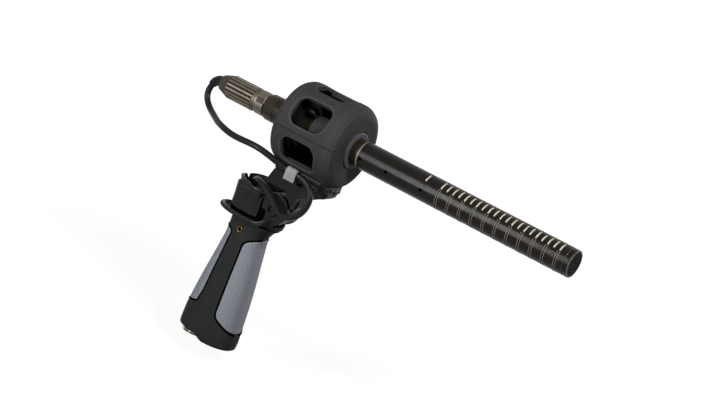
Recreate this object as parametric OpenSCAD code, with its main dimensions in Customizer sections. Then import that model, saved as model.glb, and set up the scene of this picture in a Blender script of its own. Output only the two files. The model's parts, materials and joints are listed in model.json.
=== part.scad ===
// Pistol-grip shock mount carrying a shotgun microphone, with its short lead.
// Millimetres. +X is the way the microphone points, +Z is up.
// The origin is the centre of the pole socket's mouth in the foot of the handle.

/* [Microphone] */
// Overall length of the microphone
mic_len = 280; // [272:1:300]
// Diameter of the front tube
mic_d = 22; // [21.6:0.1:23]
// Diameter of the rear tube, which the collars hold
rear_d = 21; // [20.4:0.1:21.2]
// Length of the rear tube
rear_len = 90; // [88:0.5:94]
// Wall of both tubes
tube_wall = 1.4; // [1.1:0.1:1.6]
// Width of the bright seam ring between the tubes
seam_w = 1.2; // [0.8:0.1:2]
// Number of slots in each row
slot_count = 21; // [15:2:23]
// Distance from one slot to the next
slot_pitch = 5.25; // [4.6:0.05:5.4]
// Width of a slot
slot_w = 1.9; // [1.2:0.1:2.4]
// Angle that a slot spans round the tube
slot_span = 50; // [34:1:60]
// Angle of the near slot row above the horizontal
slot_angle = 60; // [45:1:75]
// Distance from the front face back to the first slot
slot_front = 11; // [9:0.5:14]
// Distance from the row back to the lone rear slot
lone_slot_gap = 14; // [10:0.5:18]
// Width of a turned ring groove
groove_w = 1.8; // [1:0.1:2]
// Depth of a turned ring groove
groove_depth = 0.35; // [0.2:0.05:0.5]
// Length of the front cap
cap_len = 4.4; // [3.6:0.1:6]
// Diameter of the battery
battery_d = 14.5; // [13:0.1:15]
// Length of the battery
battery_len = 50.5; // [44:0.5:52]
// Width of the circuit board
board_w = 15; // [10:0.5:16]
// Thickness of the circuit board
board_t = 1.6; // [1:0.1:2]
// Length of the capsule
capsule_len = 14; // [10:0.5:18]

/* [Plug] */
// Diameter of the plug's barrel
plug_d = 19; // [18.4:0.1:19.4]
// Diameter of the socket in the microphone's rear end
socket_bore_d = 16.2; // [16:0.1:16.6]
// Depth of the socket down to the back of its insulator
socket_depth = 20; // [18:0.5:21]
// Thickness of the insulators that hold the pins
insulator_t = 5; // [4:0.5:6]
// Distance from the microphone's rear face to the plug's front ring
plug_gap = 1.3; // [0.8:0.1:2]
// Length of the plug's smooth front ring
plug_ring_len = 7.9; // [7:0.1:9]
// Length of the stepped neck behind the front ring
plug_neck_len = 3.8; // [3:0.1:5]
// Length of the fluted barrel
barrel_len = 24.6; // [20:0.2:28]
// Number of flutes round the barrel
flute_count = 18; // [12:1:24]
// Radius of the cutter that makes a flute
flute_r = 0.9; // [0.6:0.1:1.2]
// Length of the cone behind the barrel
chuck_len = 8.4; // [6:0.2:10]
// Radius of the soft boot's bend, down which the lead leaves
boot_bend = 8; // [7.5:0.25:9]
// Angle that the boot turns the lead through
boot_turn = 70; // [60:1:80]
// Radius of the boot at the plug
boot_r = 5.6; // [5.2:0.1:6]
// Width of the latch button
latch_w = 4; // [3:0.1:5]
// Length of the latch button
latch_len = 5.5; // [4:0.1:6]
// Travel of the latch button
latch_travel = 0.6; // [0.3:0.05:0.8]
// Angle of the latch above the horizontal
latch_angle = 20; // [0:1:90]
// Diameter of a contact pin
pin_d = 2.4; // [2:0.1:2.6]
// Radius of the circle that the pins stand on
pin_circle_r = 3.6; // [3.2:0.1:4]
// Length of a contact pin
pin_len = 12; // [9:0.5:13]

/* [Lead] */
// Diameter of the lead
lead_d = 5; // [4.4:0.1:5.2]

/* [Shock mount] */
// Height of the microphone's axis above the tilt hinge
mic_rise = 68; // [66:0.5:72]
// Distance from the pole socket back to the cage's rear face
cage_back = 8; // [5:0.5:11]
// Outer radius of the cage
cage_r = 34; // [32:0.5:35]
// Length of the cage
cage_len = 59.5; // [57:0.5:62]
// Distance from the cage's front face to the microphone's seam ring
cage_to_seam = 7.5; // [7:0.5:9.5]
// Radius of the cage's rounded rims
cage_edge = 9; // [7:0.5:10]
// Wall of the cage
cage_wall = 4; // [3:0.25:4.5]
// Number of windows round the cage
window_count = 6; // [5:1:7]
// Angle that a window spans
window_span = 41; // [34:1:44]
// Length of a window
window_len = 31; // [26:1:34]
// Radius of a window's corners
window_corner = 8; // [5:0.5:9]
// Wall of the collars that hold the microphone
collar_wall = 4.5; // [3.5:0.1:5.5]
// Length of the rear collar
collar_len = 11; // [8:0.5:14]
// How far the collars stand out of the cage's end faces
collar_lip = 1.3; // [0.8:0.1:2]
// Width of the rail under the cage
rail_w = 12; // [10:0.5:14]
// Thickness of the rail
rail_t = 2.8; // [2.4:0.1:3.6]
// Gap between the rail and the cage
rail_gap = 1.6; // [1.2:0.1:2.4]
// Width of the two saddles that carry the cage
saddle_w = 18; // [15:0.5:21]
// Length of a saddle
saddle_len = 9; // [7:0.5:10]

/* [Tilt head] */
// Height of the tilt hinge above the top of the handle
hinge_rise = 18.5; // [17:0.5:19.5]
// Distance of the tilt hinge in front of the pole socket
hinge_x = 8; // [6:0.5:10]
// Radius of the hinge barrel
hinge_r = 12.7; // [11.5:0.1:13]
// Width across the hinge's two cheeks
hinge_w = 21; // [19:0.5:22]
// Width of the arm's tongue between the cheeks
tongue_w = 8.4; // [7.4:0.1:9]
// Thickness of a friction washer
washer_t = 0.5; // [0.4:0.05:0.6]
// Diameter of the hinge bolt
bolt_d = 6; // [5:0.5:8]
// Diameter of the bolt's head
bolt_head_d = 10; // [9:0.5:12]
// Height of the bolt's head
bolt_head_h = 3.2; // [2.5:0.1:3.5]
// Diameter of the tilt knob
knob_d = 16; // [14:0.5:18]
// Length of the tilt knob
knob_len = 8; // [6:0.5:10]
// Number of grip scallops round the knob
knob_scallops = 10; // [6:1:14]
// Width of the arm
arm_w = 22; // [20:0.5:24]
// Depth of the arm's platform
arm_depth = 12; // [10:0.5:12.5]
// Thickness of the lead clip's strip
clip_t = 0.75; // [0.5:0.05:0.9]
// Length of the lead clip along the lead
clip_len = 9.4; // [8:0.2:10]

/* [Neck] */
// Length of the hand guard
guard_len = 56; // [52:1:58]
// Width of the hand guard
guard_w = 33; // [31:0.5:36]
// Radius of the guard's rolled lip
guard_lip_r = 1.6; // [1.2:0.1:1.8]
// Thickness of the guard's floor
guard_t = 2; // [1.6:0.1:2.6]
// Length of the faceted core
core_len = 33; // [30:0.5:34]
// Width of the faceted core
core_w = 24; // [22:0.5:25]
// Height of the faceted core
core_h = 19.5; // [18.5:0.5:20.5]
// Width of the vertical grooves in the core's sides
core_groove_w = 3.4; // [2.4:0.1:3.6]
// Length of the cable dish
dish_len = 40; // [38:0.5:42]
// Width of the cable dish
dish_w = 28; // [27:0.5:30]
// Height of the cable dish's near rim
dish_h = 5.6; // [5:0.1:6]
// How far the far wall and the rear tab rise above that rim
dish_rise = 3.4; // [2:0.1:4]
// Wall of the cable dish
dish_wall = 1.8; // [1.4:0.1:2.4]
// Diameter of the lead's gland
gland_d = 8.4; // [7.6:0.1:9]

/* [Handle] */
// Height of the handle from its foot to the guard
grip_h = 102.5; // [98:0.5:103.5]
// Half length of the handle's section near the foot
foot_a = 25; // [24.5:0.1:26]
// Half width of the handle's section near the foot
foot_b = 18.4; // [17.6:0.1:19.5]
// Half length of the section at mid height
mid_a = 21; // [19.5:0.1:22.5]
// Half width of the section at mid height
mid_b = 17; // [16:0.1:18]
// Half length of the section at the neck
neck_a = 16.6; // [16:0.1:18]
// Half width of the section at the neck
neck_b = 13.2; // [12.6:0.1:14.5]
// How far the neck flares forward under the guard
flare = 7; // [5:0.5:8]
// Wall of the handle's two shells
shell_wall = 6; // [5.5:0.25:7]
// Thickness of the soft pads let into the shells
pad_t = 2.5; // [2:0.1:3]
// Width of the groove round each pad
pad_groove = 0.5; // [0.3:0.05:0.8]
// Width of the bare strip between the pads
strip_w = 13; // [10:0.5:15]
// Diameter of the cross screw's head
screw_head_d = 5; // [4:0.1:6]

/* [Foot] */
// Diameter of the pole socket's bore
pole_bore_d = 9.525; // [8:0.005:10]
// Length of the pole socket
pole_len = 14; // [10:0.5:18]
// Wall of the pole socket's insert
pole_wall = 1.8; // [1.4:0.1:2]
// Distance from the pole socket back to the output connector
output_back = 25.8; // [25:0.1:26.2]
// Diameter of the output connector's shell
output_d = 18; // [17:0.1:19]
// Wall of the output connector's shell
output_wall = 0.9; // [0.6:0.1:1]
// How far the output's shell stands below the foot
output_drop = 1.2; // [0.4:0.1:2]
// Depth of the output connector's shell
output_len = 19; // [17:0.5:22]
// How far the foot's rear half is stepped up
foot_step = 4.5; // [3:0.25:5]
// Thickness of the foot plate
plate_t = 6; // [5:0.25:8]
// Distance from the pole socket back to the step
step_back = 8.5; // [8:0.25:9]
// Length over which the foot eases up to its stepped rear half
step_run = 9; // [6:0.5:9]

/* [Hidden] */
// Radial play of a running fit, of a seat, and the air between moving bodies
run_fit = 0.05;
seat_fit = 0.1;
air = 0.3;
// Facets of turned surfaces, and of lofted outlines
$fn = 64;
loft_n = 40;

// Heights of the hinge and the microphone, and the places of the cage and the microphone's rear end
hinge_z = grip_h + hinge_rise;
mic_height = hinge_z + mic_rise;
cage_x = -cage_back;
cage_end = cage_x + cage_len;
mic_x = cage_end + cage_to_seam - rear_len;
cage_from_rear = cage_x - mic_x;

// Microphone, measured from its rear end
front_r = mic_d / 2;
rear_r = rear_d / 2;
front_bore = front_r - tube_wall;
rear_bore = rear_r - tube_wall;
socket_r = socket_bore_d / 2;
spigot_len = 8;
spigot_wall = 1;
spigot_r = rear_bore - seat_fit;
front_s = rear_len + seam_w;
cap_s = mic_len - cap_len;
last_slot_s = mic_len - slot_front;
first_slot_s = last_slot_s - (slot_count - 1) * slot_pitch;
lone_slot_s = first_slot_s - lone_slot_gap;
mesh_t = 0.5;
mesh_lead = 6;
mesh_s = lone_slot_s - mesh_lead;
capsule_s = mesh_s - capsule_len;
tube_edge = 1.2;
ring_marks = [9.2, 14.7];
ring_mark_w = 0.6;
ring_mark_depth = 0.3;
screw_r = 1.2;
screw_depth = 0.9;
screw_steps = [2.4, 26.5];
screw_s = concat([for (d = screw_steps) front_s + d], [lone_slot_s - 0.4]);
screw_angle = -5;
grille_t = 0.8;
grille_set = 0.6;
cap_rim = 1.6;
cap_ledge = 0.8;
cap_seam = 1.9;

// Plug, measured from the microphone's rear end
nose_r = socket_r - 0.25;
nose_wall = 0.85;
nose_len = socket_depth - insulator_t - 0.5;
insert_r = nose_r - nose_wall - seat_fit;
ring_s = -plug_gap;
neck_s = ring_s - plug_ring_len;
barrel_s = neck_s - plug_neck_len;
chuck_s = barrel_s - barrel_len;
boot_s = chuck_s - chuck_len;
boot_stem = 1.5;
boot_sleeve = 0.8;
latch_rise = 0.4;
latch_gap = 0.3;

// Shock mount
collar_bore = rear_r + run_fit;
collar_r = collar_bore + collar_wall;
collar_edge = 0.8;
rail_top = mic_height - cage_r - rail_gap;
rail_z = rail_top - rail_t;
rear_saddle_x = cage_x + 4;
front_saddle_x = cage_end - saddle_len - 4.5;
boss_len = 1.6;
boss_r = 2.2;

// Tilt head
cheek_y = tongue_w / 2 + 2 * air + washer_t;
slot_r = hinge_r + air;
knob_y = hinge_w / 2 + 2 * air;
knob_web = 1;
arm_gap = 2.5;
arm_top = rail_z;
arm_low = arm_top - arm_depth;
arm_rear = rear_saddle_x + 1;
arm_rake = 4;
arm_nose = 5.5;
// Web that joins the arm to its tongue, measured from the hinge, and where the tongue leaves its barrel
web_rear = 5;
web_mid = 9;
web_front = 16;
web_low = 8;
web_edge = 2;
tongue_rim = 0.7;
tongue_rear = 80;
tongue_front = 5;
arm_front = front_saddle_x + 2.3;

// Neck and handle
guard_z = grip_h;
core_z = guard_z + guard_t;
dish_z = core_z + core_h;
neck_x = -11;
foot_x = -14;
core_x = neck_x - 20.5;
dish_x = neck_x - 1.5;
guard_rear = neck_x - 31;
gland_x = -21.5;
core_groove_deep = 3;
grip_p = 2.4;
out_x = -output_back;
lead_bore_r = lead_d / 2 + 0.6;
guard_n = 64;
guard_rise = 9;
far_curl = 0.5;
strip_x = -11.2;
mid_x = foot_x + 1.7;
pad_foot = 7;
pad_corner = 7;
mid_z = 0.52 * grip_h;
neck_z = 0.84 * grip_h;
screw_x = neck_x - 0.8;
screw_z = grip_h - 7.5;
screw_seat = neck_b - 2.2;
nut_seat = neck_b - 1.8;
screw_hole_r = screw_head_d / 4;
screw_bed_r = screw_head_d / 2 + seat_fit;
cavity_top = screw_z - screw_head_d;
cavity_n = 24;
foot_rim = 2;
plate_top = foot_step + plate_t;
pole_r = pole_bore_d / 2 + pole_wall;
pole_flange = 1.5;
pole_flange_t = 2;
output_r = output_d / 2;
output_flange = 1.2;
output_flange_t = 1.5;

// Places that the lead passes: the boot's end, beside the cage, the clip, the hinge and the gland
boot_start = [mic_x + boot_s, 0, mic_height];
boot_dir = [-cos(boot_turn), 0, -sin(boot_turn)];
boot_tip_len = 0.4;
boot_end = boot_start - [boot_stem + boot_bend * sin(boot_turn), 0, boot_bend * (1 - cos(boot_turn))];
boot_tip = boot_end + boot_tip_len * boot_dir;
pass_angle = 45.5;
pass_r = cage_r + lead_d / 2 + 2 * air;
beside = [cage_x, -pass_r * sin(pass_angle), mic_height - pass_r * cos(pass_angle)];
clip_reach = 9;
clip_drop = 3;
clip_flap = 6.5;
clip_play = 0.25;
clip_lift = 6.2;
clip_mid = [cage_x + 26.5, -arm_w / 2 - clip_reach, arm_top + clip_lift];
hinge_mid = [hinge_x, 0, hinge_z];
gland_len = 6;
stub = 0.5;
gland_top = [gland_x, 0, dish_z - 1];
gland_base = gland_top - [0, 0, gland_len];
output_back_z = output_len - output_drop;
bend_z = 0.6 * grip_h;
tail_len = 6;
tail_bend = 14;

// Control points of the lead from the plug's boot to the clip
run_route = concat(
    [boot_tip, boot_tip + boot_dir * lead_d],
    [for (d = [
        [-0.2, -1.1, -11.5], [7.1, -3.4, -17], [16.2, -9.2, -18.6], [24.7, -16, -19.7], [32.6, -21.3, -19.7]
    ]) boot_tip + d],
    [for (d = [
        [-37.9, 1.4, 0.2], [-28.5, -0.3, -0.4], [-17.9, -0.6, 0.3], [-8.1, -0.9, 0.9], [1.3, 0.2, -0.3]
    ]) beside + d],
    [for (d = [[-15.9, -3.1, 2.8], [-7.3, 0, 0], [0, 0, 0]]) clip_mid + d]
);
// Control points of the lead from the clip to the gland in the cable dish
loop_route = concat(
    [for (d = [
        [0, 0, 0], [4.3, 0, 0], [13.3, 0.4, -1.3], [20.2, -0.7, -6.3], [22.9, -2, -12.6]
    ]) clip_mid + d],
    [for (d = [
        [32.7, -22.4, 16.5], [29.9, -21.9, 10.6], [25, -21.6, 5.1], [18.4, -21.5, 1.6],
        [11.4, -20.5, 2.4], [5, -18.5, 6], [-1.2, -16.6, 9.3]
    ]) hinge_mid + d],
    [for (d = [
        [22.9, -14.5, 9.8], [16.5, -12.7, 11.5], [8, -9.9, 13.2], [2.3, -3.2, 10.7], [0, 0, 4.5], [0, 0, 0]
    ]) gland_top + d]
);
// Control points of the lead inside the handle, from the gland to the output connector
inner_route = [
    gland_base,
    [gland_x, 0, grip_h],
    [gland_x, 0, 0.8 * grip_h],
    [gland_x, 0, bend_z],
    [0.7 * gland_x + 0.3 * out_x, 0, 0.45 * grip_h],
    [0.15 * gland_x + 0.85 * out_x, 0, output_back_z + tail_bend],
    [out_x, 0, output_back_z + tail_len],
    [out_x, 0, output_back_z]
];

// Frames

module along_mic(s = 0) {
    translate([mic_x + s, 0, mic_height]) rotate([0, 90, 0]) children();
}

// Turns a radial feature to an angle above the horizontal on the near side
module at_angle(angle) {
    rotate([0, 0, -90 - angle]) children();
}

module across(x, z) {
    translate([x, 0, z]) rotate([90, 0, 0]) children();
}

// A slab with a side outline, centred on the middle plane
module slab(width) {
    rotate([90, 0, 0]) linear_extrude(width, center = true) children();
}

module round_slot(length, width, corner) {
    square([length - 2 * corner, width], center = true);
    square([length, width - 2 * corner], center = true);
    for (i = [-1, 1], j = [-1, 1]) {
        translate([i * (length / 2 - corner), j * (width / 2 - corner)]) circle(corner);
    }
}

// Lofts and sweeps

function power(v, p) = sign(v) * pow(abs(v), 2 / p);

function oval(x, a, b, z, p, n, phase = 0) = [
    for (i = [0 : n - 1]) let (t = (i + phase) * 360 / n) [x + a * power(cos(t), p), b * power(sin(t), p), z]
];

// Skins a stack of rings of equal count, closed at both ends
module skin(rings) {
    n = len(rings[0]);
    m = len(rings);
    polyhedron(
        points = [for (r = rings) each r],
        faces = concat(
            [[for (i = [0 : n - 1]) i]],
            [for (k = [0 : m - 2], i = [0 : n - 1]) each [
                [k * n + i, (k + 1) * n + (i + 1) % n, k * n + (i + 1) % n],
                [k * n + i, (k + 1) * n + i, (k + 1) * n + (i + 1) % n]
            ]],
            [[for (i = [n - 1 : -1 : 0]) (m - 1) * n + i]]
        ),
        convexity = 6
    );
}

function unit(v) = v / norm(v);

// Smooth curve that a route's control points draw, from its first point to its last
function blend4(p0, p1, p2, p3, t) = (
    pow(1 - t, 3) * p0 + (3 * pow(t, 3) - 6 * t * t + 4) * p1
    + (-3 * pow(t, 3) + 3 * t * t + 3 * t + 1) * p2 + pow(t, 3) * p3
) / 6;

function smooth(route, steps) = let (last = len(route) - 1) concat(
    [for (k = [0 : last - 1], j = [0 : steps - 1]) blend4(
        k == 0 ? 2 * route[0] - route[1] : route[k - 1],
        route[k],
        route[k + 1],
        k == last - 1 ? 2 * route[last] - route[last - 1] : route[k + 2],
        j / steps
    )],
    [route[last]]
);

// The curve with a short straight stub at each end, so that the lead's ends sit flat
function lead_path(route, steps) = let (
    last = len(route) - 1,
    from = route[0] + stub * unit(route[1] - route[0]),
    to = route[last] - stub * unit(route[last] - route[last - 1])
) concat([route[0]], smooth(concat([from], [for (k = [1 : last - 1]) route[k]], [to]), steps), [route[last]]);

function heading(path, k) = let (last = len(path) - 1)
    k == 0 ? unit(path[1] - path[0]) :
    k == last ? unit(path[last] - path[last - 1]) :
    unit(unit(path[k + 1] - path[k]) + unit(path[k] - path[k - 1]));

// Side vector carried along the path, so that the tube does not twist
function carry(path, side, k) = let (d = heading(path, k)) unit(side - d * (side * d));

function sides(path, k) = k == 0 ? carry(path, [0.02, 1, 0.03], 0) : carry(path, sides(path, k - 1), k);

function ring_at(path, r, n, k, side) = let (d = heading(path, k), up = cross(d, side)) [
    for (i = [0 : n - 1]) path[k] + r * (cos(i * 360 / n) * side + sin(i * 360 / n) * up)
];

module tube(path, r, n) {
    skin([for (k = [0 : len(path) - 1]) ring_at(path, r, n, k, sides(path, k))]);
}

// Microphone

module rear_tube() {
    marks = [for (s = ring_marks) each [
        [rear_r, s],
        [rear_r - ring_mark_depth, s],
        [rear_r - ring_mark_depth, s + ring_mark_w],
        [rear_r, s + ring_mark_w]
    ]];
    color("#4d463d") along_mic() rotate_extrude() polygon(concat(
        [
            [socket_r, 0],
            [rear_r - tube_edge, 0],
            [rear_r - 0.3 * tube_edge, 0.3 * tube_edge],
            [rear_r, tube_edge]
        ],
        marks,
        [[rear_r, rear_len], [rear_bore, rear_len], [rear_bore, socket_depth], [socket_r, socket_depth]]
    ));
}

module seam_ring() {
    color("#b9b2a4") along_mic(rear_len) difference() {
        cylinder(h = seam_w, r = (rear_r + front_r) / 2);
        translate([0, 0, -1]) cylinder(h = seam_w + 2, r = spigot_r + seat_fit);
    }
}

function slot_s(k) = first_slot_s + k * slot_pitch;

module slot_cut(s, angle) {
    reach = front_r * sin(slot_span / 2);
    at_angle(angle) translate([front_bore - 1, -reach, s - slot_w / 2])
        cube([tube_wall + 3, 2 * reach, slot_w]);
}

module interference_tube() {
    grooves = [for (k = [0 : 2 : slot_count - 1]) each [
        [front_r, slot_s(k) - groove_w / 2],
        [front_r - groove_depth, slot_s(k) - groove_w / 2],
        [front_r - groove_depth, slot_s(k) + groove_w / 2],
        [front_r, slot_s(k) + groove_w / 2]
    ]];
    color("#4b443b") along_mic() difference() {
        rotate_extrude() polygon(concat(
            [
                [spigot_r - spigot_wall, rear_len - spigot_len],
                [spigot_r, rear_len - spigot_len],
                [spigot_r, front_s],
                [front_r, front_s]
            ],
            grooves,
            [
                [front_r, cap_s],
                [front_bore, cap_s],
                [front_bore, front_s + 2],
                [spigot_r - spigot_wall, front_s + 2]
            ]
        ));
        for (k = [0 : slot_count - 1], side = [0, 180]) slot_cut(slot_s(k), slot_angle + side);
        for (side = [0, 180]) slot_cut(lone_slot_s, slot_angle + side);
        for (s = screw_s) at_angle(screw_angle) translate([front_r - screw_depth, 0, s]) rotate([0, 90, 0])
            cylinder(h = screw_depth + 1, r = screw_r + seat_fit, $fn = 24);
    }
}

module slot_mesh() {
    color("#d8d0bd") along_mic(mesh_s) difference() {
        cylinder(h = cap_s - mesh_s, r = front_bore - seat_fit);
        translate([0, 0, -1]) cylinder(h = cap_s - mesh_s + 2, r = front_bore - seat_fit - mesh_t);
    }
}

module front_cap() {
    color("#2f2b27") along_mic(cap_s) rotate_extrude() polygon([
        [front_r - cap_rim - cap_ledge, 0],
        [front_r - groove_depth, 0],
        [front_r - groove_depth, cap_seam],
        [front_r, cap_seam],
        [front_r, cap_len - grille_set],
        [front_r - grille_set, cap_len],
        [front_r - cap_rim, cap_len],
        [front_r - cap_rim, cap_len - grille_set - grille_t],
        [front_r - cap_rim - cap_ledge, cap_len - grille_set - grille_t]
    ]);
}

module front_grille() {
    color("#1b1b1b") along_mic(mic_len - grille_set - grille_t)
        cylinder(h = grille_t, r = front_r - cap_rim - seat_fit);
}

module capsule() {
    color("#c8a24a") along_mic(capsule_s) cylinder(h = capsule_len, r = front_bore - seat_fit);
}

module circuit_board() {
    length = capsule_s - front_s - 3;
    color("#2f6b3a") along_mic(front_s + 3) translate([-board_t / 2, -board_w / 2, 0])
        cube([board_t, board_w, length]);
}

module battery() {
    color("#b08a2e") along_mic(socket_depth + 2) union() {
        cylinder(h = battery_len, r = battery_d / 2);
        translate([0, 0, battery_len]) cylinder(h = 1, r = battery_d / 5);
    }
}

module battery_sleeve() {
    length = rear_len - spigot_len - 0.5 - socket_depth;
    color("#26282a") along_mic(socket_depth) difference() {
        cylinder(h = length, r = rear_bore - seat_fit);
        translate([0, 0, 2]) cylinder(h = length, r = battery_d / 2 + seat_fit);
    }
}

module pin_set(length) {
    for (k = [0 : 2]) rotate([0, 0, 120 * k]) translate([pin_circle_r, 0, 0]) union() {
        cylinder(h = length - pin_d / 3, r = pin_d / 2, $fn = 24);
        translate([0, 0, length - pin_d / 3])
            cylinder(h = pin_d / 3, r1 = pin_d / 2, r2 = pin_d / 4, $fn = 24);
    }
}

module mic_socket() {
    color("#1d1d1d") along_mic(socket_depth - insulator_t) cylinder(h = insulator_t, r = socket_r - seat_fit);
}

module mic_pins() {
    color("#d7b765") along_mic(socket_depth - insulator_t) mirror([0, 0, 1]) pin_set(pin_len);
}

module tube_screws() {
    color("#8a8378") along_mic() for (s = screw_s) at_angle(screw_angle)
        translate([front_r - screw_depth, 0, s]) rotate([0, 90, 0]) difference() {
            cylinder(h = screw_depth - 0.25, r = screw_r, $fn = 24);
            translate([0, 0, screw_depth - 0.6]) cylinder(h = 1, r = screw_r / 2, $fn = 6);
        }
}

// Plug

module plug_shell() {
    color("#b5aa97") along_mic() difference() {
        rotate_extrude() polygon([
            [0, barrel_s],
            [plug_d / 2 - 0.6, barrel_s],
            [plug_d / 2 - 0.6, barrel_s + plug_neck_len * 0.4],
            [plug_d / 2 - 1.2, barrel_s + plug_neck_len * 0.4],
            [plug_d / 2 - 1.2, neck_s],
            [plug_d / 2, neck_s],
            [plug_d / 2, ring_s - 0.5],
            [plug_d / 2 - 0.5, ring_s],
            [nose_r, ring_s],
            [nose_r, nose_len],
            [nose_r - nose_wall, nose_len],
            [nose_r - nose_wall, neck_s],
            [0, neck_s]
        ]);
        at_angle(latch_angle)
            translate([0, -latch_w / 2 - latch_gap, neck_s + (plug_ring_len - latch_len) / 2 - latch_gap])
            cube([plug_d, latch_w + 2 * latch_gap, latch_len + 2 * latch_gap]);
    }
}

module plug_latch() {
    low = insert_r + latch_travel + air;
    color("#8f8879") along_mic() at_angle(latch_angle) intersection() {
        translate([low, -latch_w / 2, neck_s + (plug_ring_len - latch_len) / 2])
            cube([plug_d / 2 + latch_rise - low, latch_w, latch_len]);
        translate([0, 0, neck_s]) cylinder(h = plug_ring_len, r = plug_d / 2 + latch_rise);
    }
}

module plug_insert() {
    color("#222222") along_mic(neck_s) difference() {
        cylinder(h = nose_len - neck_s - 0.5, r = insert_r);
        translate([0, 0, nose_len - neck_s - 0.5 - pin_len]) for (k = [0 : 2]) rotate([0, 0, 120 * k])
            translate([pin_circle_r, 0, 0]) cylinder(h = pin_len + 1, r = pin_d / 2 + 0.15, $fn = 24);
    }
}

module plug_barrel() {
    color("#b9b0a0") along_mic(chuck_s) difference() {
        cylinder(h = barrel_len, r = plug_d / 2);
        for (k = [0 : flute_count - 1]) rotate([0, 0, k * 360 / flute_count])
            translate([plug_d / 2 + flute_r / 3, 0, -1]) cylinder(h = barrel_len + 2, r = flute_r, $fn = 20);
    }
}

module plug_chuck() {
    color("#7d7264") along_mic(boot_s) rotate_extrude() polygon([
        [0, 0], [plug_d / 3, 0], [plug_d / 3 + 0.4, 1.2], [plug_d / 2 - 0.6, chuck_len - 1],
        [plug_d / 2 - 0.6, chuck_len], [0, chuck_len]
    ]);
}

// A soft boot that bends down with the lead, with a bead round its start and its end
module plug_boot() {
    steps = 7;
    tip = lead_d / 2 + boot_sleeve;
    bend = [for (k = [0 : steps]) let (t = boot_turn * k / steps)
        boot_start - [boot_stem + boot_bend * sin(t), 0, boot_bend * (1 - cos(t))]];
    path = concat([boot_start, boot_start - [0.6 * boot_stem, 0, 0]], bend, [boot_tip]);
    last = len(path) - 1;
    waist = boot_r - 0.9;
    radii = [for (k = [0 : last])
        k < 2 ? boot_r : k == last ? tip - boot_tip_len : waist - (waist - tip) * (k - 2) / steps];
    color("#1f1f20") skin([for (k = [0 : last]) ring_at(path, radii[k], 16, k, sides(path, k))]);
}

// Lead

module lead_run() {
    color("#2b2c2e") tube(lead_path(run_route, 4), lead_d / 2, 10);
}

module lead_loop() {
    color("#2b2c2e") tube(lead_path(loop_route, 4), lead_d / 2, 10);
}

module inner_lead() {
    color("#2b2c2e") tube(lead_path(inner_route, 2), lead_d / 2, 8);
}

module lead_clip() {
    bore = lead_d / 2 + clip_play;
    leg = clip_lift + clip_drop;
    color("#a9acb0") translate(clip_mid - [clip_len / 2, 0, 0]) rotate([90, 0, 90]) linear_extrude(clip_len)
        union() {
            difference() {
                circle(bore + clip_t);
                circle(bore);
                translate([-lead_d, -2 * lead_d]) square(2 * lead_d);
            }
            translate([-bore - clip_t, -clip_flap]) square([clip_t, clip_flap]);
            translate([bore, -leg]) square([clip_t, leg]);
            translate([bore, -leg]) square([clip_reach - bore, clip_t]);
            translate([clip_reach - clip_t, -leg - clip_drop]) square([clip_t, clip_drop + clip_t]);
        }
}

// Shock mount

module cage_solid(inset) {
    r = cage_r - inset;
    edge = cage_edge - inset;
    length = cage_len - 2 * inset;
    rotate_extrude() union() {
        square([r - edge, length]);
        translate([0, edge]) square([r, length - 2 * edge]);
        translate([r - edge, edge]) circle(edge);
        translate([r - edge, length - edge]) circle(edge);
    }
}

module suspension_cage() {
    chord = 2 * cage_r * sin(window_span / 2);
    color("#3a3b3d") along_mic(cage_from_rear) difference() {
        cage_solid(0);
        translate([0, 0, cage_wall]) cage_solid(cage_wall);
        translate([0, 0, -1]) cylinder(h = cage_len + 2, r = collar_r);
        for (k = [0 : window_count - 1]) at_angle(90 + k * 360 / window_count)
            translate([collar_r, 0, cage_len / 2 - 1]) rotate([0, 90, 0]) linear_extrude(cage_r)
            round_slot(window_len, chord, window_corner);
    }
}

module collar(length) {
    rotate_extrude() polygon([
        [collar_bore, 0],
        [collar_r, 0],
        [collar_r, length - collar_edge],
        [collar_r - collar_edge, length],
        [collar_bore, length]
    ]);
}

module front_collar() {
    color("#4a4b4d") along_mic(cage_from_rear + cage_len - cage_wall) collar(cage_wall + collar_lip);
}

module rear_collar() {
    color("#4a4b4d") along_mic(cage_from_rear - collar_lip) collar(collar_len);
}

module cage_rail() {
    color("#232425") translate([rear_saddle_x, -rail_w / 2, rail_z])
        cube([front_saddle_x + saddle_len - 2 - rear_saddle_x, rail_w, rail_t]);
}

// A block between the rail and the round underside of the cage
module saddle(x) {
    top = mic_height - sqrt(pow(cage_r, 2) - pow(saddle_w / 2, 2)) + 1;
    difference() {
        translate([x, -saddle_w / 2, rail_z]) cube([saddle_len, saddle_w, top - rail_z]);
        along_mic(cage_from_rear) cage_solid(-seat_fit);
        translate([x - 1, -rail_w / 2 - seat_fit, rail_z - 1])
            cube([saddle_len + 2, rail_w + 2 * seat_fit, rail_t + 1]);
    }
}

module front_saddle() {
    color("#1e1f20") union() {
        saddle(front_saddle_x);
        translate([front_saddle_x + saddle_len, 0, rail_top - 1]) rotate([0, 90, 0])
            cylinder(h = boss_len, r = boss_r, $fn = 32);
    }
}

module rear_saddle() {
    color("#1e1f20") saddle(rear_saddle_x);
}

// Tilt head

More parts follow.
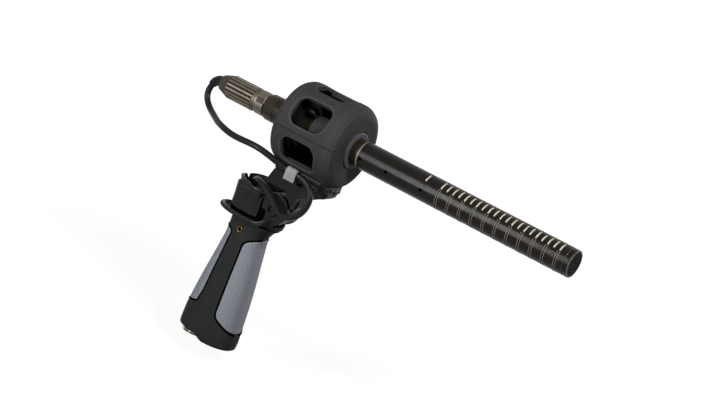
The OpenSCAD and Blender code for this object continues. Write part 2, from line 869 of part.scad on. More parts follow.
// Side outline of the arm: the platform and its raked ends, and the neck that runs down to the hinge
module arm_outline() {
    polygon([
        [arm_rear, arm_top],
        [arm_rear - arm_rake, arm_low],
        [hinge_x + web_rear, arm_low],
        [hinge_x + web_mid, hinge_z + web_low],
        [hinge_x + web_front - web_edge, hinge_z + web_low - web_edge],
        [hinge_x + web_front, arm_low - web_edge],
        [hinge_x + web_front + web_rear, arm_low + web_edge / 2],
        [arm_front - 4, arm_low + 3],
        [arm_front, arm_top],
        [arm_front - 2, arm_top],
        [arm_front - 5, arm_top - 1.6],
        [rear_saddle_x + saddle_len + 4, arm_top - 1.6],
        [rear_saddle_x + saddle_len, arm_top]
    ]);
}

module tongue_outline() {
    r = hinge_r - tongue_rim;
    translate([hinge_x, hinge_z]) circle(r);
    polygon([
        [hinge_x + r * cos(tongue_rear), hinge_z + r * sin(tongue_rear)],
        [hinge_x + web_mid, arm_low - web_edge],
        [hinge_x + web_front, arm_low - 1.5 * web_edge],
        [hinge_x + web_front, hinge_z + web_low],
        [hinge_x + r * cos(tongue_front), hinge_z + r * sin(tongue_front)]
    ]);
}

module tilt_arm() {
    reach = arm_front - arm_rear + 10;
    color("#333436") difference() {
        union() {
            difference() {
                intersection() {
                    slab(arm_w) arm_outline();
                    translate([arm_rear - 10, 0, 0]) linear_extrude(mic_height) polygon([
                        [0, -arm_w / 2],
                        [reach - arm_nose, -arm_w / 2],
                        [reach, -arm_w / 2 + arm_nose],
                        [reach, arm_w / 2 - arm_nose],
                        [reach - arm_nose, arm_w / 2],
                        [0, arm_w / 2]
                    ]);
                }
                across(hinge_x, hinge_z) cylinder(h = arm_w + 2, r = hinge_r + arm_gap, center = true);
            }
            slab(tongue_w) tongue_outline();
        }
        across(hinge_x, hinge_z) cylinder(h = arm_w + 2, r = bolt_d / 2 + run_fit, center = true);
    }
}

module tilt_bolt() {
    color("#6d6e70") across(hinge_x, hinge_z) union() {
        translate([0, 0, -knob_y - knob_len + knob_web])
            cylinder(h = knob_y + knob_len - knob_web + hinge_w / 2, r = bolt_d / 2);
        translate([0, 0, hinge_w / 2]) difference() {
            cylinder(h = bolt_head_h, r = bolt_head_d / 2);
            translate([0, 0, bolt_head_h / 2]) cylinder(h = bolt_head_h, r = bolt_d / 2, $fn = 6);
        }
    }
}

module tilt_knob() {
    color("#1c1c1d") across(hinge_x, hinge_z) translate([0, 0, -knob_y - knob_len]) difference() {
        rotate_extrude() polygon([
            [0, 0], [knob_d / 2 - 1.2, 0], [knob_d / 2, 1.2], [knob_d / 2, knob_len], [0, knob_len]
        ]);
        translate([0, 0, knob_web - run_fit]) cylinder(h = knob_len, r = bolt_d / 2 + run_fit);
        for (k = [0 : knob_scallops - 1]) rotate([0, 0, k * 360 / knob_scallops])
            translate([knob_d / 2 + 1, 0, -1]) cylinder(h = knob_len + 2, r = 2, $fn = 24);
    }
}

module washer(y) {
    color("#77787a") across(hinge_x, hinge_z) translate([0, 0, y]) difference() {
        cylinder(h = washer_t, r = hinge_r - 3);
        translate([0, 0, -1]) cylinder(h = washer_t + 2, r = bolt_d / 2 + seat_fit);
    }
}

module near_washer() {
    washer(cheek_y - washer_t);
}

module far_washer() {
    washer(-cheek_y);
}

// Neck

function dish_top(angle) = dish_z + dish_h
    + dish_rise * (angle > 35 && angle < 150 ? min(1, (angle - 35) / 30, (150 - angle) / 8) : 0)
    + dish_rise * (abs(angle - 184) < 24 ? min(1, (24 - abs(angle - 184)) / 9) : 0);

function dish_ring(inset, fall) = [
    for (i = [0 : loft_n - 1]) let (t = i * 360 / loft_n) [
        dish_x + (dish_len / 2 - inset) * cos(t),
        (dish_w / 2 - inset) * sin(t),
        fall > 0 ? dish_top(t) - fall : dish_top(t)
    ]
];

module cable_dish() {
    a = dish_len / 2;
    b = dish_w / 2;
    color("#2d2e30") difference() {
        skin([
            oval(dish_x, a - 2.5, b - 1.8, dish_z, 2, loft_n),
            oval(dish_x, a - 0.6, b - 0.5, dish_z + dish_h - 2.2, 2, loft_n),
            dish_ring(0, 1),
            dish_ring(0.4, 0),
            dish_ring(dish_wall, 0),
            oval(dish_x, a - dish_wall - 0.8, b - dish_wall - 0.8, dish_z + dish_h - 1.6, 2, loft_n),
            oval(dish_x, a - dish_wall - 3, b - dish_wall - 3, dish_z + 2, 2, loft_n)
        ]);
        translate([gland_x, 0, dish_z - 1]) cylinder(h = dish_h + 2, r = gland_d / 2 + seat_fit);
        across(hinge_x, hinge_z) cylinder(h = 2 * dish_w, r = hinge_r + arm_gap - 0.5, center = true);
    }
}

module lead_gland() {
    edge = 0.6;
    color("#161617") translate(gland_base) union() {
        cylinder(h = gland_len - edge, r = gland_d / 2);
        translate([0, 0, gland_len - edge]) cylinder(h = edge, r1 = gland_d / 2, r2 = gland_d / 2 - edge);
    }
}

// Faceted outline of the core, with a flat front that carries the hinge
module core_outline() {
    b = core_w / 2;
    polygon([
        [core_x, -0.35 * b], [core_x + 3.5, -0.75 * b], [core_x + 11, -b], [core_x + 22, -b],
        [core_x + core_len, -hinge_w / 2], [core_x + core_len, hinge_w / 2],
        [core_x + 22, b], [core_x + 11, b], [core_x + 3.5, 0.75 * b], [core_x, 0.35 * b]
    ]);
}

module hinge_block() {
    color("#343537") difference() {
        union() {
            translate([0, 0, core_z]) linear_extrude(core_h) core_outline();
            across(hinge_x, hinge_z) cylinder(h = hinge_w, r = hinge_r, center = true);
            translate([core_x + core_len - 6, -hinge_w / 2 + 2, core_z])
                cube([hinge_x - core_x - core_len + 4, hinge_w - 4, hinge_z - core_z]);
        }
        across(hinge_x, hinge_z) cylinder(h = 2 * cheek_y, r = slot_r, center = true);
        translate([hinge_x, -cheek_y, hinge_z - 0.4 * hinge_r]) cube([2 * hinge_r, 2 * cheek_y, 3 * hinge_r]);
        across(hinge_x, hinge_z) cylinder(h = hinge_w + 2, r = bolt_d / 2 + run_fit, center = true);
        translate([gland_x, 0, core_z - 1]) cylinder(h = core_h + 2, r = lead_bore_r);
        translate(gland_base) cylinder(h = core_h, r = gland_d / 2 + seat_fit);
        for (side = [-1, 1]) translate([core_x + core_len - core_groove_w, side * core_w / 2, core_z + 2])
            linear_extrude(core_h) square([core_groove_w, 2 * core_groove_deep], center = true);
    }
}

// Outline of the guard, a point of it at an angle: a narrow tail and a blunt front
function guard_point(t, inset, lift) = let (p = cos(t) > 0 ? 3.2 : 2.2) [
    guard_rear + guard_len / 2 + (guard_len / 2 - inset) * power(cos(t), p),
    (guard_w / 2 - inset) * power(sin(t), p),
    guard_z + lift
];

// The front corners of the lip curl up beside the hinge, the far one less, under the knob
function guard_curl(t) = let (d = abs(abs(t > 180 ? t - 360 : t) - 36))
    (t > 180 ? 1 : far_curl) * guard_rise * max(0, 1 - pow(d / 26, 2));

function guard_ring(inset, lift, share) = [
    for (i = [0 : guard_n - 1]) let (t = i * 360 / guard_n)
        guard_point(t, inset, lift + share * guard_curl(t))
];

module hand_guard() {
    r = guard_lip_r;
    color("#2f3032") difference() {
        skin([
            guard_ring(7, 0, 0),
            guard_ring(1.4 * r, 0.15 * r, 0.4),
            guard_ring(0.3 * r, 0.8 * r, 0.75),
            guard_ring(0, 1.6 * r, 0.95),
            guard_ring(0.3 * r, 2.3 * r, 1),
            guard_ring(r, 2.6 * r, 1),
            guard_ring(1.7 * r, 2.3 * r, 1),
            guard_ring(2 * r, 1.6 * r, 0.9),
            guard_ring(2.6 * r, guard_t, 0)
        ]);
        translate([gland_x, 0, guard_z - 1]) rotate([0, 0, 45]) cylinder(h = guard_t + 2, r = lead_bore_r);
        across(hinge_x, hinge_z) cylinder(h = hinge_w + 2 * air, r = hinge_r + air, center = true);
    }
}

// Handle

// Height, centre, half length and half width of the handle's sections
grip_rings = [
    [0, foot_x + 0.5, foot_a - 0.8, foot_b - 2.2],
    [2.5, foot_x + 0.2, foot_a - 0.2, foot_b - 0.8],
    [7, foot_x, foot_a, foot_b],
    [0.2 * grip_h, foot_x, foot_a - 0.6, foot_b],
    [0.36 * grip_h, foot_x + 0.9, (foot_a + mid_a) / 2 - 0.1, (foot_b + mid_b) / 2 + 0.1],
    [mid_z, mid_x, mid_a, mid_b],
    [0.68 * grip_h, foot_x + 2.4, (mid_a + neck_a) / 2 - 0.1, (mid_b + neck_b) / 2 + 0.7],
    [neck_z, neck_x, neck_a, neck_b + 1.6],
    [grip_h - 8.5, neck_x, neck_a, neck_b],
    [grip_h - 4.5, neck_x + 0.15 * flare, neck_a + 0.15 * flare + 0.2, neck_b - 0.3],
    [grip_h - 1.8, neck_x + 0.3 * flare, neck_a + 0.3 * flare + 0.4, neck_b - 0.5],
    [grip_h, neck_x + flare / 2, neck_a + flare / 2 + 0.5, neck_b - 0.6]
];

function arc(x, a, b, z, p, t0, t1, m) = [
    for (i = [0 : m]) let (t = t0 + (t1 - t0) * i / m) [x + a * power(cos(t), p), b * power(sin(t), p), z]
];

// Part of the handle's wall, between two depths below its surface and two angles round it
module grip_wall(outer, inner, t0, t1) {
    m = round(abs(t1 - t0) / 9);
    skin([for (g = grip_rings) concat(
        arc(g[1], g[2] - outer, g[3] - outer, g[0], grip_p, t0, t1, m),
        arc(g[1], g[2] - inner, g[3] - inner, g[0], grip_p, t1, t0, m)
    )]);
}

// Half of the handle's solid, on one side of the parting plane
module grip_half(side) {
    skin([for (g = grip_rings) arc(
        g[1], g[2], g[3], g[0], grip_p, side > 0 ? 0 : 180, side > 0 ? 180 : 360, loft_n / 2
    )]);
}

// Rounds the corner at b of a run from a to c
function corner(a, b, c, r) = let (
    u = unit(a - b),
    v = unit(c - b),
    half = acos(u * v) / 2,
    reach = r / tan(half),
    middle = b + unit(u + v) * r / sin(half),
    from = b + u * reach - middle,
    turn = (u[0] * v[1] - u[1] * v[0] > 0 ? -1 : 1) * (180 - 2 * half)
) [for (i = [0 : 4]) let (w = turn * i / 4) middle + [
    from[0] * cos(w) - from[1] * sin(w),
    from[0] * sin(w) + from[1] * cos(w)
]];

function rounded(points, r) = let (n = len(points)) [
    for (i = [0 : n - 1]) each corner(points[(i + n - 1) % n], points[i], points[(i + 1) % n], r)
];

// Side outlines of the two pads
module front_zone(shrink) {
    x = strip_x + strip_w / 2 + shrink;
    low = pad_foot + shrink;
    top = grip_h - pad_foot - shrink;
    polygon(rounded([
        [x, low + 17], [x + 24, low], [x + 40, low], [x + 40, top], [x + 17, top], [x, top - 7.5]
    ], pad_corner));
}

module rear_zone(shrink) {
    x = strip_x - strip_w / 2 - shrink;
    low = pad_foot + 8 + shrink;
    top = grip_h - pad_foot - shrink;
    polygon(rounded([
        [x, top - 3.5], [x - 50, top + 1.5], [x - 50, low], [x - 6.5, low + 13.5], [x - 4, low + 25]
    ], pad_corner / 2));
}

module front_pad() {
    color("#8e9299") intersection() {
        grip_wall(0, pad_t, -95, 95);
        slab(5 * foot_b) front_zone(pad_groove);
    }
}

module rear_pad() {
    color("#8e9299") intersection() {
        grip_wall(0, pad_t, 78, 282);
        slab(5 * foot_b) rear_zone(pad_groove);
    }
}

module pad_beds() {
    intersection() {
        grip_wall(-3, pad_t, -95, 95);
        slab(5 * foot_b) front_zone(0);
    }
    intersection() {
        grip_wall(-3, pad_t, 78, 282);
        slab(5 * foot_b) rear_zone(0);
    }
}

module foot_outline(inset) {
    foot = grip_rings[0];
    ring = oval(foot[1], foot[2] - inset, foot[3] - inset, 0, grip_p, loft_n, 0.5);
    polygon([for (p = ring) [p[0], p[1]]]);
}

// The hollow inside the two shells
module handle_cavity() {
    w = shell_wall;
    skin([
        oval(foot_x, foot_a - w, foot_b - w, plate_top - 0.5, 2, cavity_n, 0.5),
        oval(mid_x, mid_a - w, mid_b - w, mid_z, 2, cavity_n, 0.5),
        oval(neck_x, neck_a - w, neck_b - w, neck_z, 2, cavity_n, 0.5),
        oval(neck_x, neck_a - w, neck_b - w, cavity_top, 2, cavity_n, 0.5)
    ]);
    translate([gland_x, 0, bend_z]) rotate([0, 0, 45]) cylinder(h = grip_h, r = lead_bore_r);
    translate([out_x, 0, 0]) rotate([0, 0, 45])
        cylinder(h = output_back_z + 0.5, r = output_r + output_flange + air);
    rotate([0, 0, 45]) cylinder(h = plate_top + pole_flange_t + air, r = pole_r + pole_flange + air);
    rotate([0, 0, 45]) cylinder(h = pole_len + air, r = pole_r + air);
}

// The cross screw's hole, with a seat at each end
module screw_hole() {
    across(screw_x, screw_z) union() {
        cylinder(h = 3 * neck_b, r = screw_hole_r + seat_fit, center = true, $fn = 32);
        translate([0, 0, screw_seat]) cylinder(h = neck_b, r = screw_bed_r, $fn = 32);
        translate([0, 0, -nut_seat - neck_b]) cylinder(h = neck_b, r = screw_bed_r, $fn = 32);
    }
}

// Side outline of the room under the foot's rear half, easing down to the front half
module step_outline() {
    ease = 6;
    polygon(concat(
        [[-4 * foot_a, -1], [-4 * foot_a, foot_step]],
        [for (i = [0 : ease]) let (u = i / ease)
            [-step_back - step_run * (1 - u), foot_step * (1 - u * u * (3 - 2 * u))]],
        [[-step_back, -1]]
    ));
}

module shell(side) {
    difference() {
        grip_half(side);
        pad_beds();
        translate([0, 0, -1]) linear_extrude(plate_top + 1) foot_outline(foot_rim);
        handle_cavity();
        slab(4 * foot_b) step_outline();
        screw_hole();
    }
}

module near_shell() {
    color("#303133") shell(-1);
}

module far_shell() {
    color("#303133") shell(1);
}

module foot_plate() {
    inset = foot_rim + seat_fit;
    color("#26272a") difference() {
        linear_extrude(plate_top) foot_outline(inset);
        slab(4 * foot_b) step_outline();
        translate([0, 0, -1]) cylinder(h = plate_top + 2, r = pole_r + seat_fit);
        translate([out_x, 0, -1]) cylinder(h = plate_top + 2, r = output_r + seat_fit);
    }
}

module pole_socket() {
    color("#b48b45") difference() {
        union() {
            cylinder(h = pole_len, r = pole_r);
            translate([0, 0, plate_top]) cylinder(h = pole_flange_t, r = pole_r + pole_flange);
        }
        translate([0, 0, -1]) cylinder(h = pole_len + 2, r = pole_bore_d / 2);
    }
}

module output_shell() {
    color("#c2c2c0") translate([out_x, 0, -output_drop]) difference() {
        union() {
            cylinder(h = output_len, r = output_r);
            translate([0, 0, output_drop + plate_top])
                cylinder(h = output_flange_t, r = output_r + output_flange);
        }
        translate([0, 0, -1]) cylinder(h = output_len + 2, r = output_r - output_wall);
    }
}

module output_insert() {
    color("#1d1d1d") translate([out_x, 0, output_back_z - insulator_t])
        cylinder(h = insulator_t, r = output_r - output_wall - seat_fit);
}

module output_pins() {
    color("#d7b765") translate([out_x, 0, output_back_z - insulator_t]) mirror([0, 0, 1]) pin_set(pin_len);
}

module cross_screw() {
    color("#b9974e") across(screw_x, screw_z) union() {
        translate([0, 0, -nut_seat]) cylinder(h = nut_seat + screw_seat, r = screw_hole_r, $fn = 32);
        translate([0, 0, screw_seat]) difference() {
            cylinder(h = 2.4, r = screw_head_d / 2, $fn = 32);
            translate([0, 0, 1]) cylinder(h = 3, r = screw_hole_r, $fn = 6);
        }
    }
}

module cross_nut() {
    color("#b9974e") across(screw_x, screw_z) translate([0, 0, -nut_seat - 2]) difference() {
        cylinder(h = 2, r = screw_head_d / 2, $fn = 32);
        translate([0, 0, -1]) cylinder(h = 1.8, r = screw_hole_r, $fn = 6);
    }
}

rear_tube();
seam_ring();
interference_tube();
slot_mesh();
front_cap();
front_grille();
capsule();
circuit_board();
battery();
battery_sleeve();
mic_socket();
mic_pins();
tube_screws();
plug_shell();
plug_latch();
plug_insert();
plug_barrel();
plug_chuck();
plug_boot();
lead_run();
lead_loop();
inner_lead();
lead_clip();
suspension_cage();
front_collar();
rear_collar();
cage_rail();
front_saddle();
rear_saddle();
tilt_arm();
tilt_bolt();
tilt_knob();
near_washer();
far_washer();
cable_dish();
lead_gland();
hinge_block();
hand_guard();
near_shell();
far_shell();
front_pad();
rear_pad();
foot_plate();
pole_socket();
output_shell();
output_insert();
output_pins();
cross_screw();
cross_nut();
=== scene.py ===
"""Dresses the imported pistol-grip shock mount: camera, lead, moulded and turned pieces, materials and light."""
import json
import math

import bpy
import numpy as np
from mathutils import Matrix, Vector


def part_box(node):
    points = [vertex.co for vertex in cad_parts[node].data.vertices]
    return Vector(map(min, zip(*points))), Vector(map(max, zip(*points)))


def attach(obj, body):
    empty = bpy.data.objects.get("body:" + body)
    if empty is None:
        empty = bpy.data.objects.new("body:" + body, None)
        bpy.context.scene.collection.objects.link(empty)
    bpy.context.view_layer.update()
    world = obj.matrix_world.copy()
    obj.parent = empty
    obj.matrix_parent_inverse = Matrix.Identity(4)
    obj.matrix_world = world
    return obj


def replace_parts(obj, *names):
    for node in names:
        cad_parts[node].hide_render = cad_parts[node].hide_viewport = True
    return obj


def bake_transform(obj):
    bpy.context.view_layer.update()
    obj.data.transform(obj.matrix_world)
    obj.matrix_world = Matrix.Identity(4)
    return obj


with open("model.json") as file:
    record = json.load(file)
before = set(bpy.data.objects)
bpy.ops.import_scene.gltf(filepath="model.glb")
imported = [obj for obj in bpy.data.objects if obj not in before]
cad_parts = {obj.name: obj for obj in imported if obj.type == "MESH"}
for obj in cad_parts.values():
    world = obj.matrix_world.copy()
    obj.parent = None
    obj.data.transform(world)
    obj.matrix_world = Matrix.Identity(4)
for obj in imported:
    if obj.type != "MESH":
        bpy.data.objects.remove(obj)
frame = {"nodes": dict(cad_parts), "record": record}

MM = 0.001
SCENE = bpy.context.scene
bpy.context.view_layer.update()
SCENE.view_settings.view_transform = "Standard"


# Camera, solved on the microphone's length and diameter, in metres and degrees

CAMERA_AZIMUTH, CAMERA_ELEVATION, CAMERA_ROLL = 26.927, 14.703, 20.619
CAMERA_TARGET, CAMERA_DISTANCE = Vector((0.07109, 0.0, 0.14956)), 1.890441
LENS_MM, SENSOR_MM = 126.31, 36.0


def add_camera():
    azimuth, elevation, roll = (math.radians(v) for v in (CAMERA_AZIMUTH, CAMERA_ELEVATION, CAMERA_ROLL))
    back = Vector((
        math.sin(azimuth) * math.cos(elevation), -math.cos(azimuth) * math.cos(elevation), math.sin(elevation)))
    level = Vector((math.cos(azimuth), math.sin(azimuth), 0))
    rise = back.cross(level)
    right = math.cos(roll) * level + math.sin(roll) * rise
    up = -math.sin(roll) * level + math.cos(roll) * rise
    data = bpy.data.cameras.new("camera")
    data.lens, data.sensor_width, data.sensor_fit = LENS_MM, SENSOR_MM, "HORIZONTAL"
    data.clip_start, data.clip_end = 0.05, 20.0
    camera = bpy.data.objects.new("camera", data)
    SCENE.collection.objects.link(camera)
    place = Matrix((right, up, back)).transposed().to_4x4()
    place.translation = CAMERA_TARGET + back * CAMERA_DISTANCE
    camera.matrix_world = place
    SCENE.camera = camera


add_camera()


# Mesh helpers, in millimetres: a mesh is its points and its faces

def unit(v):
    return v / np.linalg.norm(v)


def box_mm(node):
    """The low and the high corner of a CAD node's box."""
    return [np.array(corner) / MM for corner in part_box(node)]


def points_mm(mesh):
    """The points of a Blender mesh."""
    co = np.empty(len(mesh.vertices) * 3, np.float32)
    mesh.vertices.foreach_get("co", co)
    return co.reshape(-1, 3).astype(float) / MM


def new_object(name, points, faces, smooth=True):
    mesh = bpy.data.meshes.new(name)
    points = [tuple(p) for p in np.asarray(points, float) * MM]
    mesh.from_pydata(points, [], [tuple(int(i) for i in face) for face in faces])
    mesh.validate()
    if smooth:
        mesh.shade_smooth()
    obj = bpy.data.objects.new(name, mesh)
    SCENE.collection.objects.link(obj)
    return obj


def joined(parts):
    """Points and faces of several meshes as one."""
    points, faces, count = [], [], 0
    for p, f in parts:
        points.append(np.asarray(p, float))
        faces += [tuple(int(i) + count for i in face) for face in f]
        count += len(p)
    return np.vstack(points), faces


def grid_faces(rows, columns, wrap=False):
    """The faces between rows of points, where wrapped rows are rings."""
    out = []
    for i in range(rows - 1):
        for j in range(columns if wrap else columns - 1):
            k = (j + 1) % columns
            out.append((i * columns + j, i * columns + k, (i + 1) * columns + k, (i + 1) * columns + j))
    return out


def end_faces(rows, columns):
    """The faces that close the first and the last row."""
    return [tuple(range(columns - 1, -1, -1)), tuple((rows - 1) * columns + i for i in range(columns))]


def tube_faces(rows, columns):
    """The faces of a solid made of rings of points."""
    return grid_faces(rows, columns, wrap=True) + end_faces(rows, columns)


def circle(radius, sides):
    t = np.arange(sides) * 2 * math.pi / sides
    return np.stack([np.cos(t), np.sin(t)], 1) * radius


def full_turn(middle, radius, count):
    """Points of a circle, first and last alike, in two coordinates."""
    return [(middle[0] + radius * math.cos(t), middle[1] + radius * math.sin(t))
            for t in np.linspace(0, 2 * math.pi, count)]


def sweep(path, section, closed_ends=True):
    """A section, a list of (side, up), carried along a path."""
    path, section = np.asarray(path, float), np.asarray(section, float)
    step = np.diff(path, axis=0)
    step /= np.linalg.norm(step, axis=1)[:, None]
    heading = np.vstack([step[:1], step[:-1] + step[1:], step[-1:]])
    heading /= np.linalg.norm(heading, axis=1)[:, None]
    side = np.array([0.02, 1.0, 0.03])    # a first guess, off the heading of every path
    points = []
    for place, ahead in zip(path, heading):
        side = unit(side - ahead * (side @ ahead))
        points.append(place + section[:, :1] * side + section[:, 1:] * np.cross(ahead, side))
    size = len(path), len(section)
    return np.vstack(points), tube_faces(*size) if closed_ends else grid_faces(*size, wrap=True)


def prism(outline, y0, y1):
    """A side outline of (x, z) carried across from one y to another."""
    n = len(outline)
    points = [(x, y, z) for y in (y0, y1) for x, z in outline]
    faces = [tuple(range(n)), tuple(range(2 * n - 1, n - 1, -1))]
    faces += [(i, n + i, n + (i + 1) % n, (i + 1) % n) for i in range(n)]
    return points, faces


def line_normals(line):
    """The directions across a line of two coordinates."""
    step = np.gradient(np.asarray(line, float), axis=0)
    normal = np.stack([-step[:, 1], step[:, 0]], 1)
    return normal / np.linalg.norm(normal, axis=1)[:, None]


# Lead: the same control points as the part's source, as one smooth curve in each stretch

LEAD_R = 2.5
STUB = 0.5
LEAD_SIDES, LEAD_STEPS = 24, 16
RUN = [
    (-86.154, 0, 183.360), (-87.864, 0, 178.662), (-86.354, -1.1, 171.860), (-79.054, -3.4, 166.360),
    (-69.954, -9.2, 164.760), (-61.454, -16, 163.660), (-53.554, -21.3, 163.660), (-45.9, -25.061, 163.196),
    (-36.5, -26.761, 162.596), (-25.9, -27.061, 163.296), (-16.1, -27.361, 163.896), (-6.7, -26.261, 162.696),
    (2.6, -23.1, 159.6), (11.2, -20, 156.8), (18.5, -20, 156.8),
]
LOOP = [
    (18.5, -20, 156.8), (22.8, -20, 156.8), (31.8, -19.6, 155.5), (38.7, -20.7, 150.5), (41.4, -22, 144.2),
    (40.7, -22.4, 137.5), (37.9, -21.9, 131.6), (33, -21.6, 126.1), (26.4, -21.5, 122.6), (19.4, -20.5, 123.4),
    (13, -18.5, 127), (6.8, -16.6, 130.3), (1.4, -14.5, 132.8), (-5, -12.7, 134.5), (-13.5, -9.9, 136.2),
    (-19.2, -3.2, 133.7), (-21.5, 0, 127.5), (-21.5, 0, 123),
]


def b_spline(points, steps):
    """A smooth curve along control points, which starts and ends on the first and the last."""
    points = np.asarray(points, float)
    p = np.vstack([2 * points[0] - points[1], points, 2 * points[-1] - points[-2]])
    out = []
    for k in range(len(points) - 1):
        for j in range(steps):
            t = j / steps
            weights = ((1 - t) ** 3, 3 * t ** 3 - 6 * t ** 2 + 4, -3 * t ** 3 + 3 * t ** 2 + 3 * t + 1, t ** 3)
            out.append(sum(w * p[k + i] for i, w in enumerate(weights)) / 6)
    return np.vstack([out, points[-1:]])


def lead_line(points):
    """The curve of one stretch of the lead, with a short straight stub at each end."""
    points = np.asarray(points, float)
    first = points[0] + STUB * unit(points[1] - points[0])
    last = points[-1] - STUB * unit(points[-1] - points[-2])
    return np.vstack([points[:1], b_spline(np.vstack([first, points[1:-1], last]), LEAD_STEPS), points[-1:]])


def add_lead(name, control):
    """One stretch of the lead, a curved tube from a place on one body to a place on another."""
    line = lead_line(control)
    obj = new_object(name + "_jacket", *sweep(line, circle(LEAD_R, LEAD_SIDES)))
    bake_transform(obj)
    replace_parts(obj, name)
    return obj


LEADS = [
    add_lead("lead_run", RUN),
    add_lead("lead_loop", LOOP),
]


# Places on the microphone, in millimetres and degrees

mic_low, mic_high = box_mm("front_cap")
MIC_FRONT = float(mic_high[0])
AXIS_Z = float(mic_low[2] + mic_high[2]) / 2
TUBE_R = float(mic_high[2] - mic_low[2]) / 2
SLOT_COUNT, SLOT_PITCH, SLOT_FRONT, LONE_SLOT_GAP = 21, 5.25, 11.0, 14.0
SLOT_HALF_W, SLOT_HALF_LEN = 0.95, 4.65
SLOT_ANGLES = (60.0, 240.0)
SLOT_X = [MIC_FRONT - SLOT_FRONT - k * SLOT_PITCH for k in range(SLOT_COUNT)]
LONE_SLOT_X = SLOT_X[-1] - LONE_SLOT_GAP
GROOVE_HALF_W = 0.9
SEAM_FRONT = float(box_mm("seam_ring")[1][0])
SCREW_ANGLE = -5.0
SCREW_X = (SEAM_FRONT + 2.4, SEAM_FRONT + 26.5, LONE_SLOT_X - 0.4)


def on_mic(x, radius, degrees):
    """A point at a place along the microphone, a distance from its axis and an angle up from its near side."""
    a = math.radians(degrees)
    return (x, -radius * math.cos(a), AXIS_Z + radius * math.sin(a))


def lathe(profile, sides=96):
    """A closed profile of (along, radius) turned round the microphone's axis."""
    turns = np.arange(sides) * 360 / sides
    points = [on_mic(x, r, a) for a in turns for x, r in profile]
    n = len(profile)
    faces = []
    for i in range(sides):
        for j in range(n):
            a, b = i * n, (i + 1) % sides * n
            k = (j + 1) % n
            faces.append((a + j, a + k, b + k, b + j))
    return points, faces


# Materials: one for each slot of the record, in object coordinates

# Sizes of noise, in features to a millimetre
BLOTCHES, STAINS, CLOUDS, SOIL, SHEEN = 0.045, 0.1, 0.12, 0.2, 0.3
PORES, DUST, SPECKS, GLINTS = 0.85, 0.9, 1.6, 2.2
DRAWN_OUT = 0.02    # how far the noise of turning lines is drawn out along them


def tone(r, g, b):
    """A colour written as it looks on a screen, as linear light."""
    return tuple(((c / 255 + 0.055) / 1.055) ** 2.4 if c > 10 else c / 255 / 12.92 for c in (r, g, b)) + (1.0,)


def scaled(colour, factor):
    return tuple(min(1.0, c * factor) for c in colour[:3]) + (1.0,)


class Shader:
    """A principled material with helpers for its texture nodes."""

    def __init__(self, name, **constants):
        self.material = bpy.data.materials.new(name)
        self.material.use_nodes = True
        self.tree = self.material.node_tree
        self.out = self.tree.nodes["Principled BSDF"]
        self.coords = self.tree.nodes.new("ShaderNodeTexCoord").outputs["Object"]
        for key, value in constants.items():
            self.out.inputs[key.replace("_", " ")].default_value = value

    def node(self, kind, **settings):
        n = self.tree.nodes.new("ShaderNode" + kind)
        for key, value in settings.items():
            setattr(n, key, value)
        return n

    def link(self, a, b):
        self.tree.links.new(a, b)

    def noise(self, per_mm, detail=2.0, stretch=(1, 1, 1)):
        """Noise with so many features to a millimetre."""
        n = self.node("TexNoise")
        n.inputs["Scale"].default_value = per_mm / MM
        n.inputs["Detail"].default_value = detail
        m = self.node("Mapping")
        m.inputs["Scale"].default_value = stretch
        self.link(self.coords, m.inputs["Vector"])
        self.link(m.outputs["Vector"], n.inputs["Vector"])
        return n.outputs["Fac"]

    def ranged(self, value, low, high, from_low=0.3, from_high=0.7):
        """A value carried from one range to another, by default from the middle of a noise's range."""
        n = self.node("MapRange")
        n.inputs["From Min"].default_value = from_low
        n.inputs["From Max"].default_value = from_high
        n.inputs["To Min"].default_value = low
        n.inputs["To Max"].default_value = high
        self.link(value, n.inputs["Value"])
        return n.outputs["Result"]

    def mix(self, factor, a, b):
        """A colour between two, each a constant or an output."""
        n = self.node("Mix", data_type="RGBA")
        self.link(factor, n.inputs["Factor"])
        for socket, v in ((n.inputs["A"], a), (n.inputs["B"], b)):
            if isinstance(v, tuple):
                socket.default_value = v
            else:
                self.link(v, socket)
        return n.outputs["Result"]

    def layered(self, base, colour, *layers):
        """Shades of one colour laid over a base: each layer is its share and its shade."""
        for share, shade in layers:
            base = self.mix(share, base, scaled(colour, shade))
        return base

    def pointiness(self, low, high):
        """0 on flat faces and 1 on sharp edges."""
        return self.ranged(self.node("NewGeometry").outputs["Pointiness"], 0, 1, low, high)

    def bump(self, height, strength, depth_mm, over=None):
        """A relief, on top of another where given."""
        n = self.node("Bump")
        n.inputs["Strength"].default_value = strength
        n.inputs["Distance"].default_value = depth_mm * MM
        self.link(height, n.inputs["Height"])
        if over is not None:
            self.link(over, n.inputs["Normal"])
        return n.outputs["Normal"]

    def set(self, **sockets):
        """Links outputs to the shader's own sockets."""
        for key, value in sockets.items():
            self.link(value, self.out.inputs[key.replace("_", " ")])


